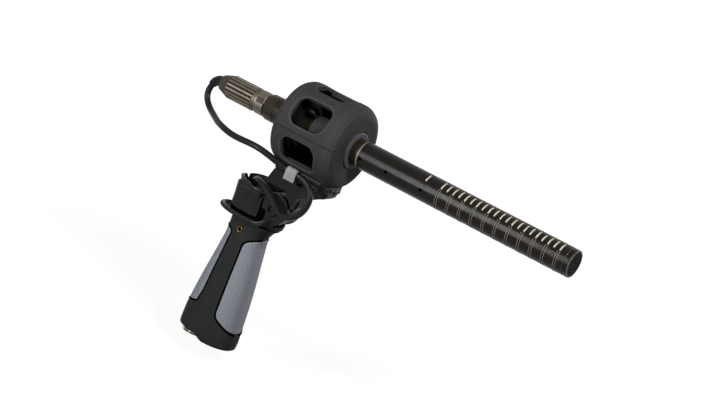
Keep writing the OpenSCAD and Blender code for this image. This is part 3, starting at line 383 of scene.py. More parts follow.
def moulded_material(name, colour, roughness, specular, grain_mm, grain_depth, edge_wear_and_highlight=1.35, mottle=0.12,
                     edge=(0.505, 0.56)):
    """Moulded plastic or rubber: spark-eroded grain, uneven tone, edges paler by rubbing and painted highlight.
    """
    s = Shader(name, Specular_IOR_Level=specular)
    grain, pores = s.noise(1 / grain_mm, 3), s.noise(PORES, 2)
    dust = s.ranged(s.noise(DUST, 4), 0, 1, 0.58, 0.8)
    blotched = s.mix(s.ranged(s.noise(BLOTCHES, 3), 0, 1), scaled(colour, 1 - mottle), scaled(colour, 1 + mottle))
    base = s.layered(
        blotched, colour,
        (s.ranged(grain, 0, 0.5), 0.8),
        (s.ranged(pores, 0, 0.85), 0.7),
        (s.ranged(dust, 0, 0.18, 0, 1), 1.8),
        # paler on sharp edges: partly worn by rubbing, partly painted edge highlight
        (s.ranged(s.pointiness(*edge), 0, 0.6, 0, 1), edge_wear_and_highlight))
    s.set(Base_Color=base, Roughness=s.ranged(s.noise(SHEEN, 3), roughness - 0.06, roughness + 0.06),
          Normal=s.bump(pores, 0.4, 1.2 * grain_depth, over=s.bump(grain, 0.5, grain_depth)))
    return s.material


def turned_material(name, colour, roughness, metallic=1.0, axis=0, specular=0.5):
    """Metal turned on a lathe: fine rings round its axis, uneven plating and faint stains."""
    ring_mm, ring_depth = 0.12, 0.006
    s = Shader(name, Metallic=metallic, Specular_IOR_Level=specular)
    rings = s.noise(1 / ring_mm, 2, tuple(1.0 if k == axis else DRAWN_OUT for k in range(3)))
    cloud = s.noise(CLOUDS, 4)
    specks = s.ranged(s.noise(SPECKS, 3), 0, 0.25, 0.62, 0.75)
    plating = s.mix(s.ranged(cloud, 0, 1), scaled(colour, 1.06), scaled(colour, 0.8))
    base = s.layered(plating, colour, (s.ranged(rings, 0, 0.35), 0.75), (specks, 0.6))
    s.set(Base_Color=base, Roughness=s.ranged(cloud, roughness - 0.05, roughness + 0.08),
          Normal=s.bump(rings, 0.35, ring_depth))
    return s.material


def mesh_material(name, colour, thread_mm):
    """Fine cloth or wire mesh: two crossed sets of threads, each thread half a wave."""
    s = Shader(name, Roughness=0.75, Specular_IOR_Level=0.3)
    waves = []
    for direction in ("X", "Z"):
        w = s.node("TexWave", wave_type="BANDS", bands_direction=direction)
        w.inputs["Scale"].default_value = math.pi / (20 * thread_mm * MM)
        w.inputs["Distortion"].default_value = 0.6
        s.link(s.coords, w.inputs["Vector"])
        waves.append(w.outputs["Fac"])
    threads = s.node("Math", operation="MAXIMUM")
    for wave, socket in zip(waves, threads.inputs):
        s.link(wave, socket)
    woven = s.mix(threads.outputs[0], scaled(colour, 0.55), scaled(colour, 1.1))
    s.set(Base_Color=s.layered(woven, colour, (s.ranged(s.noise(SOIL, 3), 0, 0.4), 0.85)),
          Normal=s.bump(threads.outputs[0], 0.6, 0.08))
    return s.material


def from_axis(s):
    """Distance of the surface from the microphone's axis."""
    split = s.node("SeparateXYZ")
    s.link(s.coords, split.inputs[0])
    height = s.node("Math", operation="SUBTRACT")
    height.inputs[1].default_value = AXIS_Z * MM
    s.link(split.outputs["Z"], height.inputs[0])
    flat = s.node("CombineXYZ")
    s.link(split.outputs["Y"], flat.inputs["X"])
    s.link(height.outputs[0], flat.inputs["Y"])
    radius = s.node("VectorMath", operation="LENGTH")
    s.link(flat.outputs[0], radius.inputs[0])
    return radius.outputs["Value"]


def fluted_material(name, colour, roughness, shaded_floor_r, crest_r):
    """Nickel darkened in the flutes, which lie nearer the microphone's axis than the lands: painted shade."""
    s = Shader(name, Metallic=1.0)
    crest = s.ranged(from_axis(s), 0, 1, shaded_floor_r * MM, crest_r * MM)
    cloud = s.noise(CLOUDS, 4)
    streaks, scratches = s.noise(8, 2, (0.03, 1, 1)), s.noise(6, 2, (DRAWN_OUT, 1, 1))
    plating = s.mix(s.ranged(cloud, 0, 1), scaled(colour, 1.1), scaled(colour, 0.8))
    worn = s.layered(plating, colour, (s.ranged(streaks, 0, 0.4), 0.7))
    # painted shade: nearly black in the flutes
    s.set(Base_Color=s.mix(crest, scaled(colour, 0.06), worn),
          Roughness=s.ranged(cloud, roughness - 0.05, roughness + 0.08),
          Normal=s.bump(scratches, 0.3, 0.006))
    return s.material


def tube_material(name, colour, roughness, specular, shaded_floor_r, skin_r):
    """Black anodised tube: fine turning lines, warm uneven tone, painted glints, painted shade on groove floors.
    """
    line_mm, line_depth = 0.16, 0.004
    s = Shader(name, Specular_IOR_Level=specular)
    lines = s.noise(1 / line_mm, 2, (1.0, DRAWN_OUT, DRAWN_OUT))
    cloud = s.noise(STAINS, 4)
    glints = s.ranged(s.noise(GLINTS, 3), 0, 0.3, 0.62, 0.75)
    coating = s.mix(s.ranged(cloud, 0, 1), scaled(colour, 1.12), scaled(colour, 0.86))
    skin = s.layered(coating, colour, (s.ranged(lines, 0, 0.35), 0.75), (glints, 1.6))
    # painted shade: darker where the surface lies below the tube's skin, on the grooves' floors
    base = s.mix(s.ranged(from_axis(s), 0, 1, shaded_floor_r * MM, skin_r * MM), scaled(colour, 0.35), skin)
    s.set(Base_Color=base, Roughness=s.ranged(cloud, roughness - 0.05, roughness + 0.07),
          Normal=s.bump(lines, 0.35, line_depth))
    return s.material


MATERIALS = {
    "tube_metal": tube_material("tube_metal", tone(18, 15, 11), 0.25, 0.13, 10.72, 10.95),
    "bright_metal": turned_material("bright_metal", tone(140, 131, 116), 0.5, 0.3, specular=0.2),
    "nickel": turned_material("nickel", tone(104, 98, 89), 0.42),
    "dark_nickel": turned_material("dark_nickel", tone(66, 60, 53), 0.55, 0.6, specular=0.2),
    "steel": turned_material("steel", tone(30, 30, 31), 0.4, 0.0, axis=1, specular=0.08),
    "brass": turned_material("brass", tone(126, 98, 58), 0.3, axis=2),
    "mesh": mesh_material("mesh", tone(206, 197, 178), 0.5),
    "grille": turned_material("grille", tone(40, 40, 40), 0.42, 0.0, specular=0.03),
    "cage_rubber": moulded_material(
        "cage_rubber", tone(66, 66, 66), 0.62, 0.012, 0.35, 0.05, edge_wear_and_highlight=1.7, edge=(0.5, 0.52)),
    "collar_rubber": moulded_material("collar_rubber", tone(92, 92, 93), 0.6, 0.02, 0.35, 0.05, edge_wear_and_highlight=1.4),
    "boot_rubber": moulded_material("boot_rubber", tone(14, 14, 15), 0.32, 0.12, 0.3, 0.03),
    "lead_jacket": moulded_material("lead_jacket", tone(24, 24, 25), 0.3, 0.12, 0.25, 0.02, mottle=0.06),
    "frame_plastic": moulded_material(
        "frame_plastic", tone(38, 38, 38), 0.36, 0.05, 0.3, 0.03, edge_wear_and_highlight=2.2, edge=(0.502, 0.535)),
    "handle_plastic": moulded_material("handle_plastic", tone(49, 50, 50), 0.5, 0.012, 0.3, 0.04, edge_wear_and_highlight=1.5),
    "pad_rubber": moulded_material(
        "pad_rubber", tone(147, 150, 158), 0.7, 0.02, 0.4, 0.05, edge_wear_and_highlight=1.3, mottle=0.04),
    "insulator": moulded_material("insulator", tone(18, 18, 18), 0.35, 0.1, 0.3, 0.01),
    "clip_metal": turned_material("clip_metal", tone(158, 158, 160), 0.5, 0.0, specular=0.05),
    "board": moulded_material("board", tone(40, 100, 60), 0.4, 0.2, 0.5, 0.02),
    "cell": moulded_material("cell", tone(150, 120, 50), 0.35, 0.2, 0.6, 0.02),
}
# A paler copy of the tube's metal: painted light on the rear tube, whose front stretch lies in the cage's shadow
REAR_TUBE_PAINTED_LIGHT = tube_material("rear_tube_painted_light", tone(50, 43, 36), 0.3, 0.1, 8.5, 9.0)
# Black for painted shade: in the screws' recesses, the core's gap and notch, and the pads' grooves
PAINTED_SHADE_BLACK = moulded_material("painted_shade_black", tone(6, 6, 6), 0.8, 0.0, 0.3, 0.02)
# Darker rubber for the cage's inward faces and bellows: painted shade inside the cage
CAGE_PAINTED_SHADE = moulded_material("cage_inside_painted_shade", tone(26, 26, 26), 0.75, 0.0, 0.35, 0.05)
GLOSSY_PLASTIC = moulded_material("glossy_plastic", tone(18, 18, 18), 0.25, 0.2, 0.3, 0.004, edge_wear_and_highlight=1.4)
# A paler copy of the nickel for the output connector's rings: painted glints
PAINTED_GLINT_NICKEL = turned_material("painted_glint_nickel", tone(200, 194, 182), 0.3)
FLUTED = fluted_material("fluted_nickel", tone(104, 97, 87), 0.45, 8.95, 9.42)
NODE_SLOT = {p["node"]: p["material_slot"] for p in frame["record"]["subparts"]}
NODE_BODY = {n: body for body, members in frame["record"]["behaviour"]["bodies"].items() for n in members}


def paint(obj, slot):
    obj.data.materials.clear()
    obj.data.materials.append(MATERIALS[slot])


# Copies of CAD nodes: moulded ones are remeshed and rounded, turned ones are smoothed by angle

WELD_STEPS = 1000    # to a millimetre: points on one step become one
SMOOTH_ANGLE = 32.0


def clean_copy(node, name, extra=None):
    """A CAD node's mesh with its doubled points welded, and more solids joined to it where given."""
    source = frame["nodes"][node].data
    source.calc_loop_triangles()
    tris = np.empty(len(source.loop_triangles) * 3, np.int32)
    source.loop_triangles.foreach_get("vertices", tris)
    grid = np.round(points_mm(source) * WELD_STEPS).astype(np.int64)
    kept, back = np.unique(grid, axis=0, return_inverse=True)
    tris = back.reshape(-1)[tris].reshape(-1, 3)
    whole = (tris[:, 0] != tris[:, 1]) & (tris[:, 1] != tris[:, 2]) & (tris[:, 2] != tris[:, 0])
    parts = [(kept / WELD_STEPS, tris[whole])]
    return new_object(name, *joined(parts + (extra or [])))


def apply_modifiers(obj):
    graph = bpy.context.evaluated_depsgraph_get()
    mesh = bpy.data.meshes.new_from_object(obj.evaluated_get(graph))
    old = obj.data
    obj.modifiers.clear()
    obj.data = mesh
    mesh.name = obj.name
    bpy.data.meshes.remove(old)


def stand_for(obj, node):
    """Puts a copy in its CAD node's place, with that node's slot and body."""
    slot = NODE_SLOT[node]
    paint(obj, slot)
    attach(obj, NODE_BODY[node])
    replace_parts(obj, node)
    return obj


def moulded(node, voxel, rounds, extra=None):
    """A CAD node's copy, with more solids joined to it where given, as one rounded moulding."""
    obj = clean_copy(node, node + "_moulding", extra)
    remesh = obj.modifiers.new("remesh", "REMESH")
    remesh.mode, remesh.voxel_size = "VOXEL", voxel * MM
    soften = obj.modifiers.new("soften", "SMOOTH")
    soften.factor, soften.iterations = 0.5, rounds
    apply_modifiers(obj)
    obj.data.shade_smooth()
    return stand_for(obj, node)


def turned(node):
    """A CAD node's copy with smooth faces and sharp edges."""
    obj = clean_copy(node, node + "_turned")
    obj.data.set_sharp_from_angle(angle=math.radians(SMOOTH_ANGLE))
    return stand_for(obj, node)


def add_piece(name, mesh, body, slot, smooth=True):
    """A piece with no solid of its own, on a body."""
    obj = new_object(name, *mesh, smooth=smooth)
    paint(obj, slot)
    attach(obj, body)
    return obj


for node, voxel, rounds in (    # rounds of smoothing
    ("front_collar", 0.35, 5), ("rear_collar", 0.35, 5), ("cage_rail", 0.35, 4),
    ("rear_saddle", 0.25, 6), ("tilt_arm", 0.3, 5),
    ("cable_dish", 0.3, 14), ("hand_guard", 0.35, 26),
    ("foot_plate", 0.45, 6), ("tilt_knob", 0.3, 5),
    ("plug_boot", 0.25, 12), ("lead_gland", 0.25, 5),
):
    moulded(node, voxel, rounds)

for node in (
    "rear_tube", "seam_ring", "interference_tube", "front_cap", "tube_screws", "plug_shell", "plug_latch",
    "plug_barrel", "plug_chuck", "tilt_bolt", "near_washer", "far_washer", "pole_socket", "output_shell",
    "output_insert", "output_pins", "cross_screw", "cross_nut", "mic_socket", "mic_pins",
):
    turned(node)


# Pieces of the microphone that are finer than the CAD model

def slot_insert(x, middle):
    """The cloth that fills one slot, a little below the tube's skin."""
    play, skin, foot, bevel = 0.22, TUBE_R - 0.3, TUBE_R - 1.4, 0.15
    half_w, half_len = SLOT_HALF_W - play, SLOT_HALF_LEN - play
    across = ((-1, foot), (-1, skin - bevel), (-0.8, skin), (0.8, skin), (1, skin - bevel), (1, foot))
    turns = np.linspace(-1, 1, 17)
    points = []
    for t in turns:
        past = max(0.0, abs(t) * half_len - (half_len - half_w))
        width = math.sqrt(max(0.02, half_w ** 2 - past ** 2))
        for side, radius in across:
            points.append(on_mic(x + side * width, radius, middle + math.degrees(t * half_len / TUBE_R)))
    size = len(turns), len(across)
    return points, grid_faces(*size) + end_faces(*size)


def groove_highlight(x, start, stop):
    """A pale metal bead along one edge of a turned groove, from one angle to another: a painted highlight."""
    edge_r, sink = 0.24, 0.1
    path = [on_mic(x, TUBE_R - sink, a) for a in np.linspace(start, stop, 48)]
    return sweep(path, circle(edge_r, 8))


def ring(x, radius, thickness):
    """A thin round ring about the microphone's axis."""
    return lathe([(x + dx, radius + dr) for dx, dr in circle(thickness, 8)])


def screw_rim(x, degrees):
    """A black ring round one screw in the tube: painted shade of the screw's recess."""
    middle_r, thickness, sink = 1.15, 0.38, 0.22
    path = [on_mic(x + along, TUBE_R - sink, degrees + math.degrees(up / TUBE_R))
            for along, up in full_turn((0, 0), middle_r, 25)]
    return sweep(path, circle(thickness, 8), closed_ends=False)


def grille_wires():
    """Two crossed sets of wires, each bent over and under the other."""
    pitch, wire_r, bend, reach, sink = 0.95, 0.18, 0.13, 9.25, 0.36
    face_x = MIC_FRONT - sink
    count = int(reach / pitch)
    wires = []
    for upright in (False, True):
        for k in range(-count, count + 1):
            half = math.sqrt(reach ** 2 - (k * pitch) ** 2)
            along = np.arange(-half, half, pitch / 4)
            side = 1 if (k % 2 == 0) != upright else -1
            x = face_x + side * bend * np.cos(np.pi * along / pitch)
            across = np.full_like(along, k * pitch)
            y, z = (across, along) if upright else (along, across)
            wires.append(sweep(np.stack([x, y, AXIS_Z + z], 1), circle(wire_r, 5)))
    return joined(wires)


def cap_rims():
    """The bright edges of the front cap, at its face and where it meets the tube."""
    cap_len = 4.4
    face = ring(MIC_FRONT - 0.22, TUBE_R - 0.42, thickness=0.24)
    joint = ring(MIC_FRONT - cap_len, TUBE_R - 0.14, thickness=0.16)
    return joined([face, joint])


slot_half_angle = math.degrees(SLOT_HALF_LEN / TUBE_R) + 2    # a little past the slot's end
slot_cloths = [slot_insert(x, a) for a in SLOT_ANGLES for x in SLOT_X + [LONE_SLOT_X]]
groove_highlights = [
    groove_highlight(x + side * GROOVE_HALF_W, a + slot_half_angle, a + 180 - slot_half_angle)
    for x in SLOT_X[::2] for side in (-1, 1) for a in SLOT_ANGLES]
add_piece("slot_cloth", joined(slot_cloths), "microphone", "mesh")
# painted highlight: pale metal beads along the grooves' edges
add_piece("groove_highlights", joined(groove_highlights), "microphone", "bright_metal")
add_piece("grille_weave", grille_wires(), "microphone", "grille")
add_piece("cap_rim", cap_rims(), "microphone", "nickel")
# the rims are painted black later: painted shade round the screws
add_piece("screw_rims", joined([screw_rim(x, SCREW_ANGLE) for x in SCREW_X]), "microphone", "dark_nickel")


# Pieces of the shock mount

cage_low, cage_high = box_mm("suspension_cage")
CAGE_REAR, CAGE_FRONT = float(cage_low[0]), float(cage_high[0])
CAGE_R = float(cage_high[2] - cage_low[2]) / 2
CAGE_EDGE, CAGE_WALL, CAGE_RIBS, COLLAR_R = 9.0, 4.0, 6, 15.05
FACED_INWARD = -0.35    # cosine between a face and the way out from the axis


def bellows(face_x, toward):
    """Stepped rubber rings round a collar, on the inner face of one end of the cage."""
    steps, tread, rise, inner = 3, 3.2, 3.3, COLLAR_R + 0.1
    root, lip, bevel = 0.4, 0.5, 0.9
    profile = [(face_x - root * toward, inner), (face_x - root * toward, inner + steps * rise + 0.6)]
    for k in range(steps):
        outer = inner + (steps - k) * rise
        x = face_x + k * tread * toward
        profile += [(x + 0.3 * toward, outer + lip), (x + (tread - bevel) * toward, outer),
                    (x + tread * toward, outer - bevel)]
    profile.append((face_x + steps * tread * toward, inner))
    return lathe(profile)


def parting_line(side):
    """The moulding's parting line: a fine bead along one side of the cage and down its two end faces."""
    sink, bead_r, inner = 0.1, 0.34, COLLAR_R + 1.5
    r, edge = CAGE_R - sink, CAGE_EDGE
    corner = np.linspace(0, math.pi / 2, 14)
    rear, front = CAGE_REAR + sink, CAGE_FRONT - sink
    outline = [(rear, inner)]
    outline += [(rear + edge * (1 - math.cos(t)), r - edge + edge * math.sin(t)) for t in corner]
    outline += [(front - edge * (1 - math.sin(t)), r - edge + edge * math.cos(t)) for t in corner]
    outline.append((front, inner))
    return sweep([(x, side * d, AXIS_Z) for x, d in outline], circle(bead_r, 8))


def cage_lining():
    """What makes the cage as thick as it looks in its windows: a bar behind each rib and a ring at each end."""
    inner, outer, inner_half_w, outer_half_w = 28.4, 31.5, 3.8, 4.8
    rear, front = CAGE_REAR + 2, CAGE_FRONT - 2
    window_rear, window_front = CAGE_REAR + 13.25, CAGE_FRONT - 15.25
    bar_faces = [(0, 1, 3, 2), (4, 6, 7, 5), (0, 4, 5, 1), (2, 3, 7, 6), (0, 2, 6, 4), (1, 5, 7, 3)]
    solids = []
    for k in range(CAGE_RIBS):
        middle = 360 / CAGE_RIBS * k
        corners = []
        for x in (rear, front):
            for radius, half in ((inner, inner_half_w), (outer, outer_half_w)):
                turn = math.degrees(math.asin(half / radius))
                corners += [on_mic(x, radius, middle - turn), on_mic(x, radius, middle + turn)]
        solids.append((corners, bar_faces))
    for start, stop in ((rear, window_rear), (window_front, front)):
        solids.append(lathe([(start, inner), (start, outer), (stop, outer), (stop, inner)]))
    return solids


def front_sleeve():
    """The soft sleeve that carries the front collar's grip back along the microphone, with a rounded end."""
    bore, skin, start, stop = 10.62, 11.6, 13.0, CAGE_FRONT - CAGE_WALL - 1
    end_len, end_drop, taper = 1.4, 0.8, 0.3
    end = [(start + end_len * (1 - math.cos(t)), skin - end_drop * (1 - math.sin(t)))
           for t in np.linspace(0, math.pi / 2, 7)]
    return lathe([(start + 0.4, bore)] + end + [(stop, skin + taper), (stop, bore)])


def paint_shade_inside(obj):
    """Gives the faces that look at the microphone's axis a darker rubber: painted shade inside the cage."""
    obj.data.materials.append(CAGE_PAINTED_SHADE)
    for face in obj.data.polygons:
        outward = Vector((0, face.center.y, face.center.z - AXIS_Z * MM)).normalized()
        if face.normal.dot(outward) < FACED_INWARD:
            face.material_index = 1


paint_shade_inside(moulded("suspension_cage", voxel=0.5, rounds=34, extra=cage_lining()))
add_piece("front_sleeve", front_sleeve(), NODE_BODY["front_collar"], "collar_rubber")
for name, face_x, toward in (
    ("rear_bellows", CAGE_REAR + CAGE_WALL, 1), ("front_bellows", CAGE_FRONT - CAGE_WALL, -1),
):
    add_piece(name, bellows(face_x, toward), NODE_BODY["suspension_cage"], "cage_rubber", smooth=False)

clip_low, clip_high = box_mm("lead_clip")
CLIP_T, CLIP_BORE, CLIP_FLAP = 0.75, LEAD_R + 0.25, 6.5
CLIP_HALF_LEN = float(clip_high[0] - clip_low[0]) / 2
CLIP_MID = np.array([
    (clip_low[0] + clip_high[0]) / 2, clip_low[1] + CLIP_BORE + CLIP_T, clip_high[2] - CLIP_BORE - CLIP_T])


def bent_strip(line, crease):
    """A strip of the clip's width bent along a line of (across, up), with a shallow crease in its face."""
    crease_waves = 1.6
    line, normal = np.asarray(line, float), line_normals(line)
    across = np.linspace(-1, 1, 25)
    points = []
    for layer in (0.5, -0.5):
        for k in range(len(line)):
            for u in across:
                wave = crease * math.sin(math.pi * crease_waves * u)
                y, z = line[k] + normal[k] * (layer * CLIP_T + wave)
                points.append(CLIP_MID + (u * CLIP_HALF_LEN, y, z))
    n, m = len(line), len(across)
    top = grid_faces(n, m)
    under = [tuple(n * m + i for i in reversed(face)) for face in top]
    rim = list(range(m)) + [k * m + m - 1 for k in range(1, n)]
    rim += [(n - 1) * m + j for j in range(m - 2, -1, -1)] + [k * m for k in range(n - 2, 0, -1)]
    sides = [(b, a, n * m + a, n * m + b) for a, b in zip(rim, rim[1:] + rim[:1])]
    return points, top + under + sides


def clip_lines():
    """The clip's face and crown, and the bracket that carries it, as (across, up) from the lead's middle."""
    mid_r = CLIP_BORE + CLIP_T / 2
    reach, leg, drop, bend = 9.0, 9.2, 3.0, 0.7
    crown = [(-mid_r * math.cos(t), mid_r * math.sin(t)) for t in np.linspace(0, math.pi, 24)]
    face = [(-mid_r, z) for z in np.linspace(-CLIP_FLAP, -0.4, 12)] + crown
    back, floor = reach - CLIP_T / 2, -leg + CLIP_T / 2
    bracket = [(mid_r, z) for z in np.linspace(-0.1, floor + 0.6, 10)] + [(mid_r + 0.25, floor + 0.2)]
    bracket += [(y, floor) for y in np.linspace(mid_r + bend, back - bend, 6)] + [(back - 0.2, floor - 0.25)]
    bracket += [(back, z) for z in np.linspace(floor - bend, -leg - drop, 5)]
    return face, bracket


clip_face, clip_bracket = clip_lines()
for name, line, crease, slot in (
    ("lead_clip_strip", clip_face, 0.16, "clip_metal"), ("lead_clip_bracket", clip_bracket, 0.0, "frame_plastic"),
):
    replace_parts(add_piece(name, bent_strip(line, crease), NODE_BODY["lead_clip"], slot), "lead_clip")
# The parting line's bead is painted black, darker than the cage: painted shade along the line
for side, where in ((-1, "near"), (1, "far")):
    add_piece(where + "_parting_line", parting_line(side), NODE_BODY["suspension_cage"], "boot_rubber")


def front_foot():
    """The foot under the cage's front rim: the saddle with the arm's blunt nose and its pin."""
    nose = [(33.5, 141.2), (43.0, 145.0), (45.6, 147.2), (48.2, 154.0), (47.6, 155.2), (46.0, 155.0), (36, 152.5)]
    half_w, pin_x, pin_z, pin_r, pin_proud, sides = 6.8, (43.0, 46.5), 154.6, 2.3, 0.6, 16
    pin = [(x, -half_w - pin_proud + y, pin_z + z) for x in pin_x for y, z in circle(pin_r, sides)]
    return [prism(nose, half_w, -half_w), (pin, tube_faces(2, sides))]


moulded("front_saddle", voxel=0.25, rounds=8, extra=front_foot())


# Pieces of the neck

GRIP_TOP = 102.5
DISH_X, DISH_A, DISH_B, DISH_RIM_Z = -12.5, 20.0, 14.0, 129.6
CORE_REAR, CORE_FRONT, CORE_FOOT = -31.5, -6.4, 109.0
CORE_SIDE = [(CORE_REAR, 4.2), (CORE_REAR + 3.5, 9.0), (CORE_REAR + 11, 12)]


def both_sides(side):
    """An outline of (x, y) from its far half: along the near side and back along the far one."""
    return [(x, -y) for x, y in side] + [(x, y) for x, y in reversed(side)]


def dish_lip():
    """The rolled lip of the dish's near rim, which falls a little towards the hinge."""
    lip_r, rise, slope, a, b = 1.35, 0.35, 0.12, DISH_A - 0.9, DISH_B - 0.7
    path = []
    for t in np.radians(np.linspace(196, 318, 50)):
        x = DISH_X + a * math.cos(t)
        path.append((x, b * math.sin(t), DISH_RIM_Z + rise + max(0.0, slope * (DISH_X - x))))
    return sweep(path, circle(lip_r, 20))


def dish_far_wall():
    """The dish's far wall, which runs on beside the hinge, where its foot stands higher."""
    top_line = b_spline([
        (-31, 6.6, 131.6), (-28.4, 9.8, 132.6), (-23, 12.2, 133.4), (-16, 13.0, 133.9), (-8, 13.1, 134),
        (-1, 12.9, 133.4), (3.2, 12.8, 132.2)], 6)
    step_x, foot_z = (-5.0, -1.0), (121.5, 127.5)
    half = 0.75
    section = [(-half, 0), (-half, 1), (0, 1.12), (half, 1), (half, 0)]
    points = []
    for (x, y, top), (nx, ny) in zip(top_line, line_normals(top_line[:, :2])):
        foot = np.interp(x, step_x, foot_z)
        for offset, rise in section:
            points.append((x + nx * offset, y + ny * offset, foot + (top - foot) * rise))
    return points, tube_faces(len(top_line), len(section))


def core_cheeks():
    """The core's faceted flanks, which flare out to meet the dish's rim."""
    outline = both_sides(CORE_SIDE + [(CORE_REAR + 22, 12), (CORE_FRONT, 11.0)])
    levels = ((CORE_FOOT, 0.9), (118, 1.0), (128, 1.6))
    rear_facet = -25
    points = []
    for z, grow in levels:
        for x, y in outline:
            points.append((x - (grow * 0.5 if x < rear_facet else 0), y + math.copysign(grow, y), z))
    return points, tube_faces(len(levels), len(outline))


def core_painted_shade():
    """Painted shade: black for the gap between the core's foot and the guard, and for the notch at its front."""
    sink, rise, proud = 4.4, 0.3, 0.15
    outline = both_sides([(x, y + proud) for x, y in CORE_SIDE + [(-9.5, 12), (2.0, 10.6)]])
    points = [(x, y, z) for z in (CORE_FOOT - sink, CORE_FOOT + rise) for x, y in outline]
    notch = prism([(-3.0, 107.5), (2.6, 107.5), (2.6, 117.5), (-3.0, 117.5)], -10.75, -9.0)
    return joined([(points, tube_faces(2, len(outline))), notch])


def guard_lip():
    """The polished top of the guard's rolled lip, along its near side."""
    middle_x, half_len, half_w, lip_r = -14.0, 28.0, 16.5, 1.6
    top, polished_r = GRIP_TOP + 1.75 * lip_r, 0.95 * lip_r
    curl_rise, curl_at, curl_half = 9.0, 36.0, 26.0    # millimetres up, and where and how far round, in degrees
    front_power, rear_power = 3.2, 2.2
    path = []
    for t in np.linspace(188, 332, 60):
        c, d = math.cos(math.radians(t)), math.sin(math.radians(t))
        power = front_power if c > 0 else rear_power
        curl = curl_rise * max(0.0, 1 - (abs(abs(t - 360) - curl_at) / curl_half) ** 2)
        x = middle_x + (half_len - lip_r) * math.copysign(abs(c) ** (2 / power), c)
        y = (half_w - lip_r) * math.copysign(abs(d) ** (2 / power), d)
        path.append((x, y, top + curl))
    return sweep(b_spline(path[::9] + path[-1:], 12), circle(polished_r, 20))


add_piece("dish_lip", dish_lip(), "handle", "frame_plastic")
add_piece("guard_lip", guard_lip(), "handle", "frame_plastic")
add_piece("dish_far_wall", dish_far_wall(), "handle", "frame_plastic")
moulded("hinge_block", voxel=0.35, rounds=5, extra=[core_cheeks()])
# painted shade: a black band and panel in place of a shaded gap and notch
add_piece("core_painted_shade", core_painted_shade(), "handle", "frame_plastic", smooth=False)


# Pieces of the handle

STRIP_X, STRIP_HALF_W, PAD_FOOT, PAD_CORNER = -11.2, 6.5, 7.0, 7.0
GRIP_RINGS = np.array([    # height, middle, half length and half width
    (0, -13.5, 24.2, 16.2), (2.5, -13.8, 24.8, 17.6), (7, -14, 25, 18.4), (20.5, -14, 24.4, 18.4),
    (36.9, -13.1, 22.9, 17.8), (53.3, -12.3, 21, 17), (69.7, -11.6, 18.7, 15.8), (86.1, -11, 16.6, 14.8),
    (94, -11, 16.6, 13.2), (98, -9.95, 17.85, 12.9), (100.7, -8.9, 19.1, 12.7), (102.5, -7.5, 20.6, 12.6),
])
GRIP_POWER, GRIP_CORE_X = 2.4, -11.0


def grip_half_width(x, z):
    """Half the handle's width at a point of its side view, or none outside it."""
    middle, a, b = (np.interp(z, GRIP_RINGS[:, 0], GRIP_RINGS[:, k]) for k in (1, 2, 3))
    share = abs((x - middle) / a)
    return b * (1 - share ** GRIP_POWER) ** (1 / GRIP_POWER) if share < 1 else None


def rounded(points, radius, steps=8):
    """An outline with each corner rounded, as a dense line."""
    points = np.asarray(points, float)
    out = []
    for k in range(len(points)):
        a, b, c = points[k - 1], points[k], points[(k + 1) % len(points)]
        u, v = unit(a - b), unit(c - b)
        half = math.acos(float(u @ v)) / 2
        start, stop = b + u * radius / math.tan(half), b + v * radius / math.tan(half)
        for t in np.linspace(0, 1, steps):
            out.append((1 - t) ** 2 * start + 2 * t * (1 - t) * b + t * t * stop)
    return np.array(out)


def edge_distance(points, outline):
    """How far each (x, z) point is from an outline."""
    best = np.full(len(points), np.inf)
    for a, b in zip(outline, np.roll(outline, -1, axis=0)):
        d = b - a
        t = np.clip((points - a) @ d / max(float(d @ d), 1e-9), 0, 1)
        best = np.minimum(best, np.linalg.norm(points - a - t[:, None] * d, axis=1))
    return best


def pad_zones():
    """The outlines of the front and the rear pad in side view, which run on past the handle's edges."""
    top = GRIP_TOP - PAD_FOOT
    x, low, past = STRIP_X + STRIP_HALF_W, PAD_FOOT, STRIP_X + STRIP_HALF_W + 40
    front = [(x, low + 17), (x + 24, low), (past, low), (past, top), (x + 17, top), (x, top - 7.5)]
    x, low, past = STRIP_X - STRIP_HALF_W, PAD_FOOT + 8, STRIP_X - STRIP_HALF_W - 50
    rear = [(x, top - 3.5), (past, top + 1.5), (past, low), (x - 6.5, low + 13.5), (x - 4, low + 25)]
    return rounded(front, PAD_CORNER), rounded(rear, PAD_CORNER / 2)


FRONT_ZONE, REAR_ZONE = pad_zones()


def shoulder(obj, outlines, width, depth):
    """Rolls the skin inwards beside the pads' outlines."""
    co = points_mm(obj.data)
    near = np.full(len(co), np.inf)
    for outline in outlines:
        near = np.minimum(near, edge_distance(co[:, [0, 2]], outline))
    share = np.clip(1 - near / width, 0, 1)
    inward = np.stack([GRIP_CORE_X - co[:, 0], -co[:, 1]], 1)
    inward /= np.maximum(np.linalg.norm(inward, axis=1), 1e-6)[:, None]
    co[:, :2] += inward * (depth * share ** 2)[:, None]
    obj.data.vertices.foreach_set("co", (co * MM).astype(np.float32).reshape(-1))
    obj.data.update()


for node, outlines, width, depth in (
    ("near_shell", (FRONT_ZONE, REAR_ZONE), 1.6, 0.5), ("far_shell", (FRONT_ZONE, REAR_ZONE), 1.6, 0.5),
    ("front_pad", (FRONT_ZONE,), 1.9, 0.9), ("rear_pad", (REAR_ZONE,), 1.9, 0.9),
):
    shoulder(moulded(node, voxel=0.4, rounds=4), outlines, width, depth)


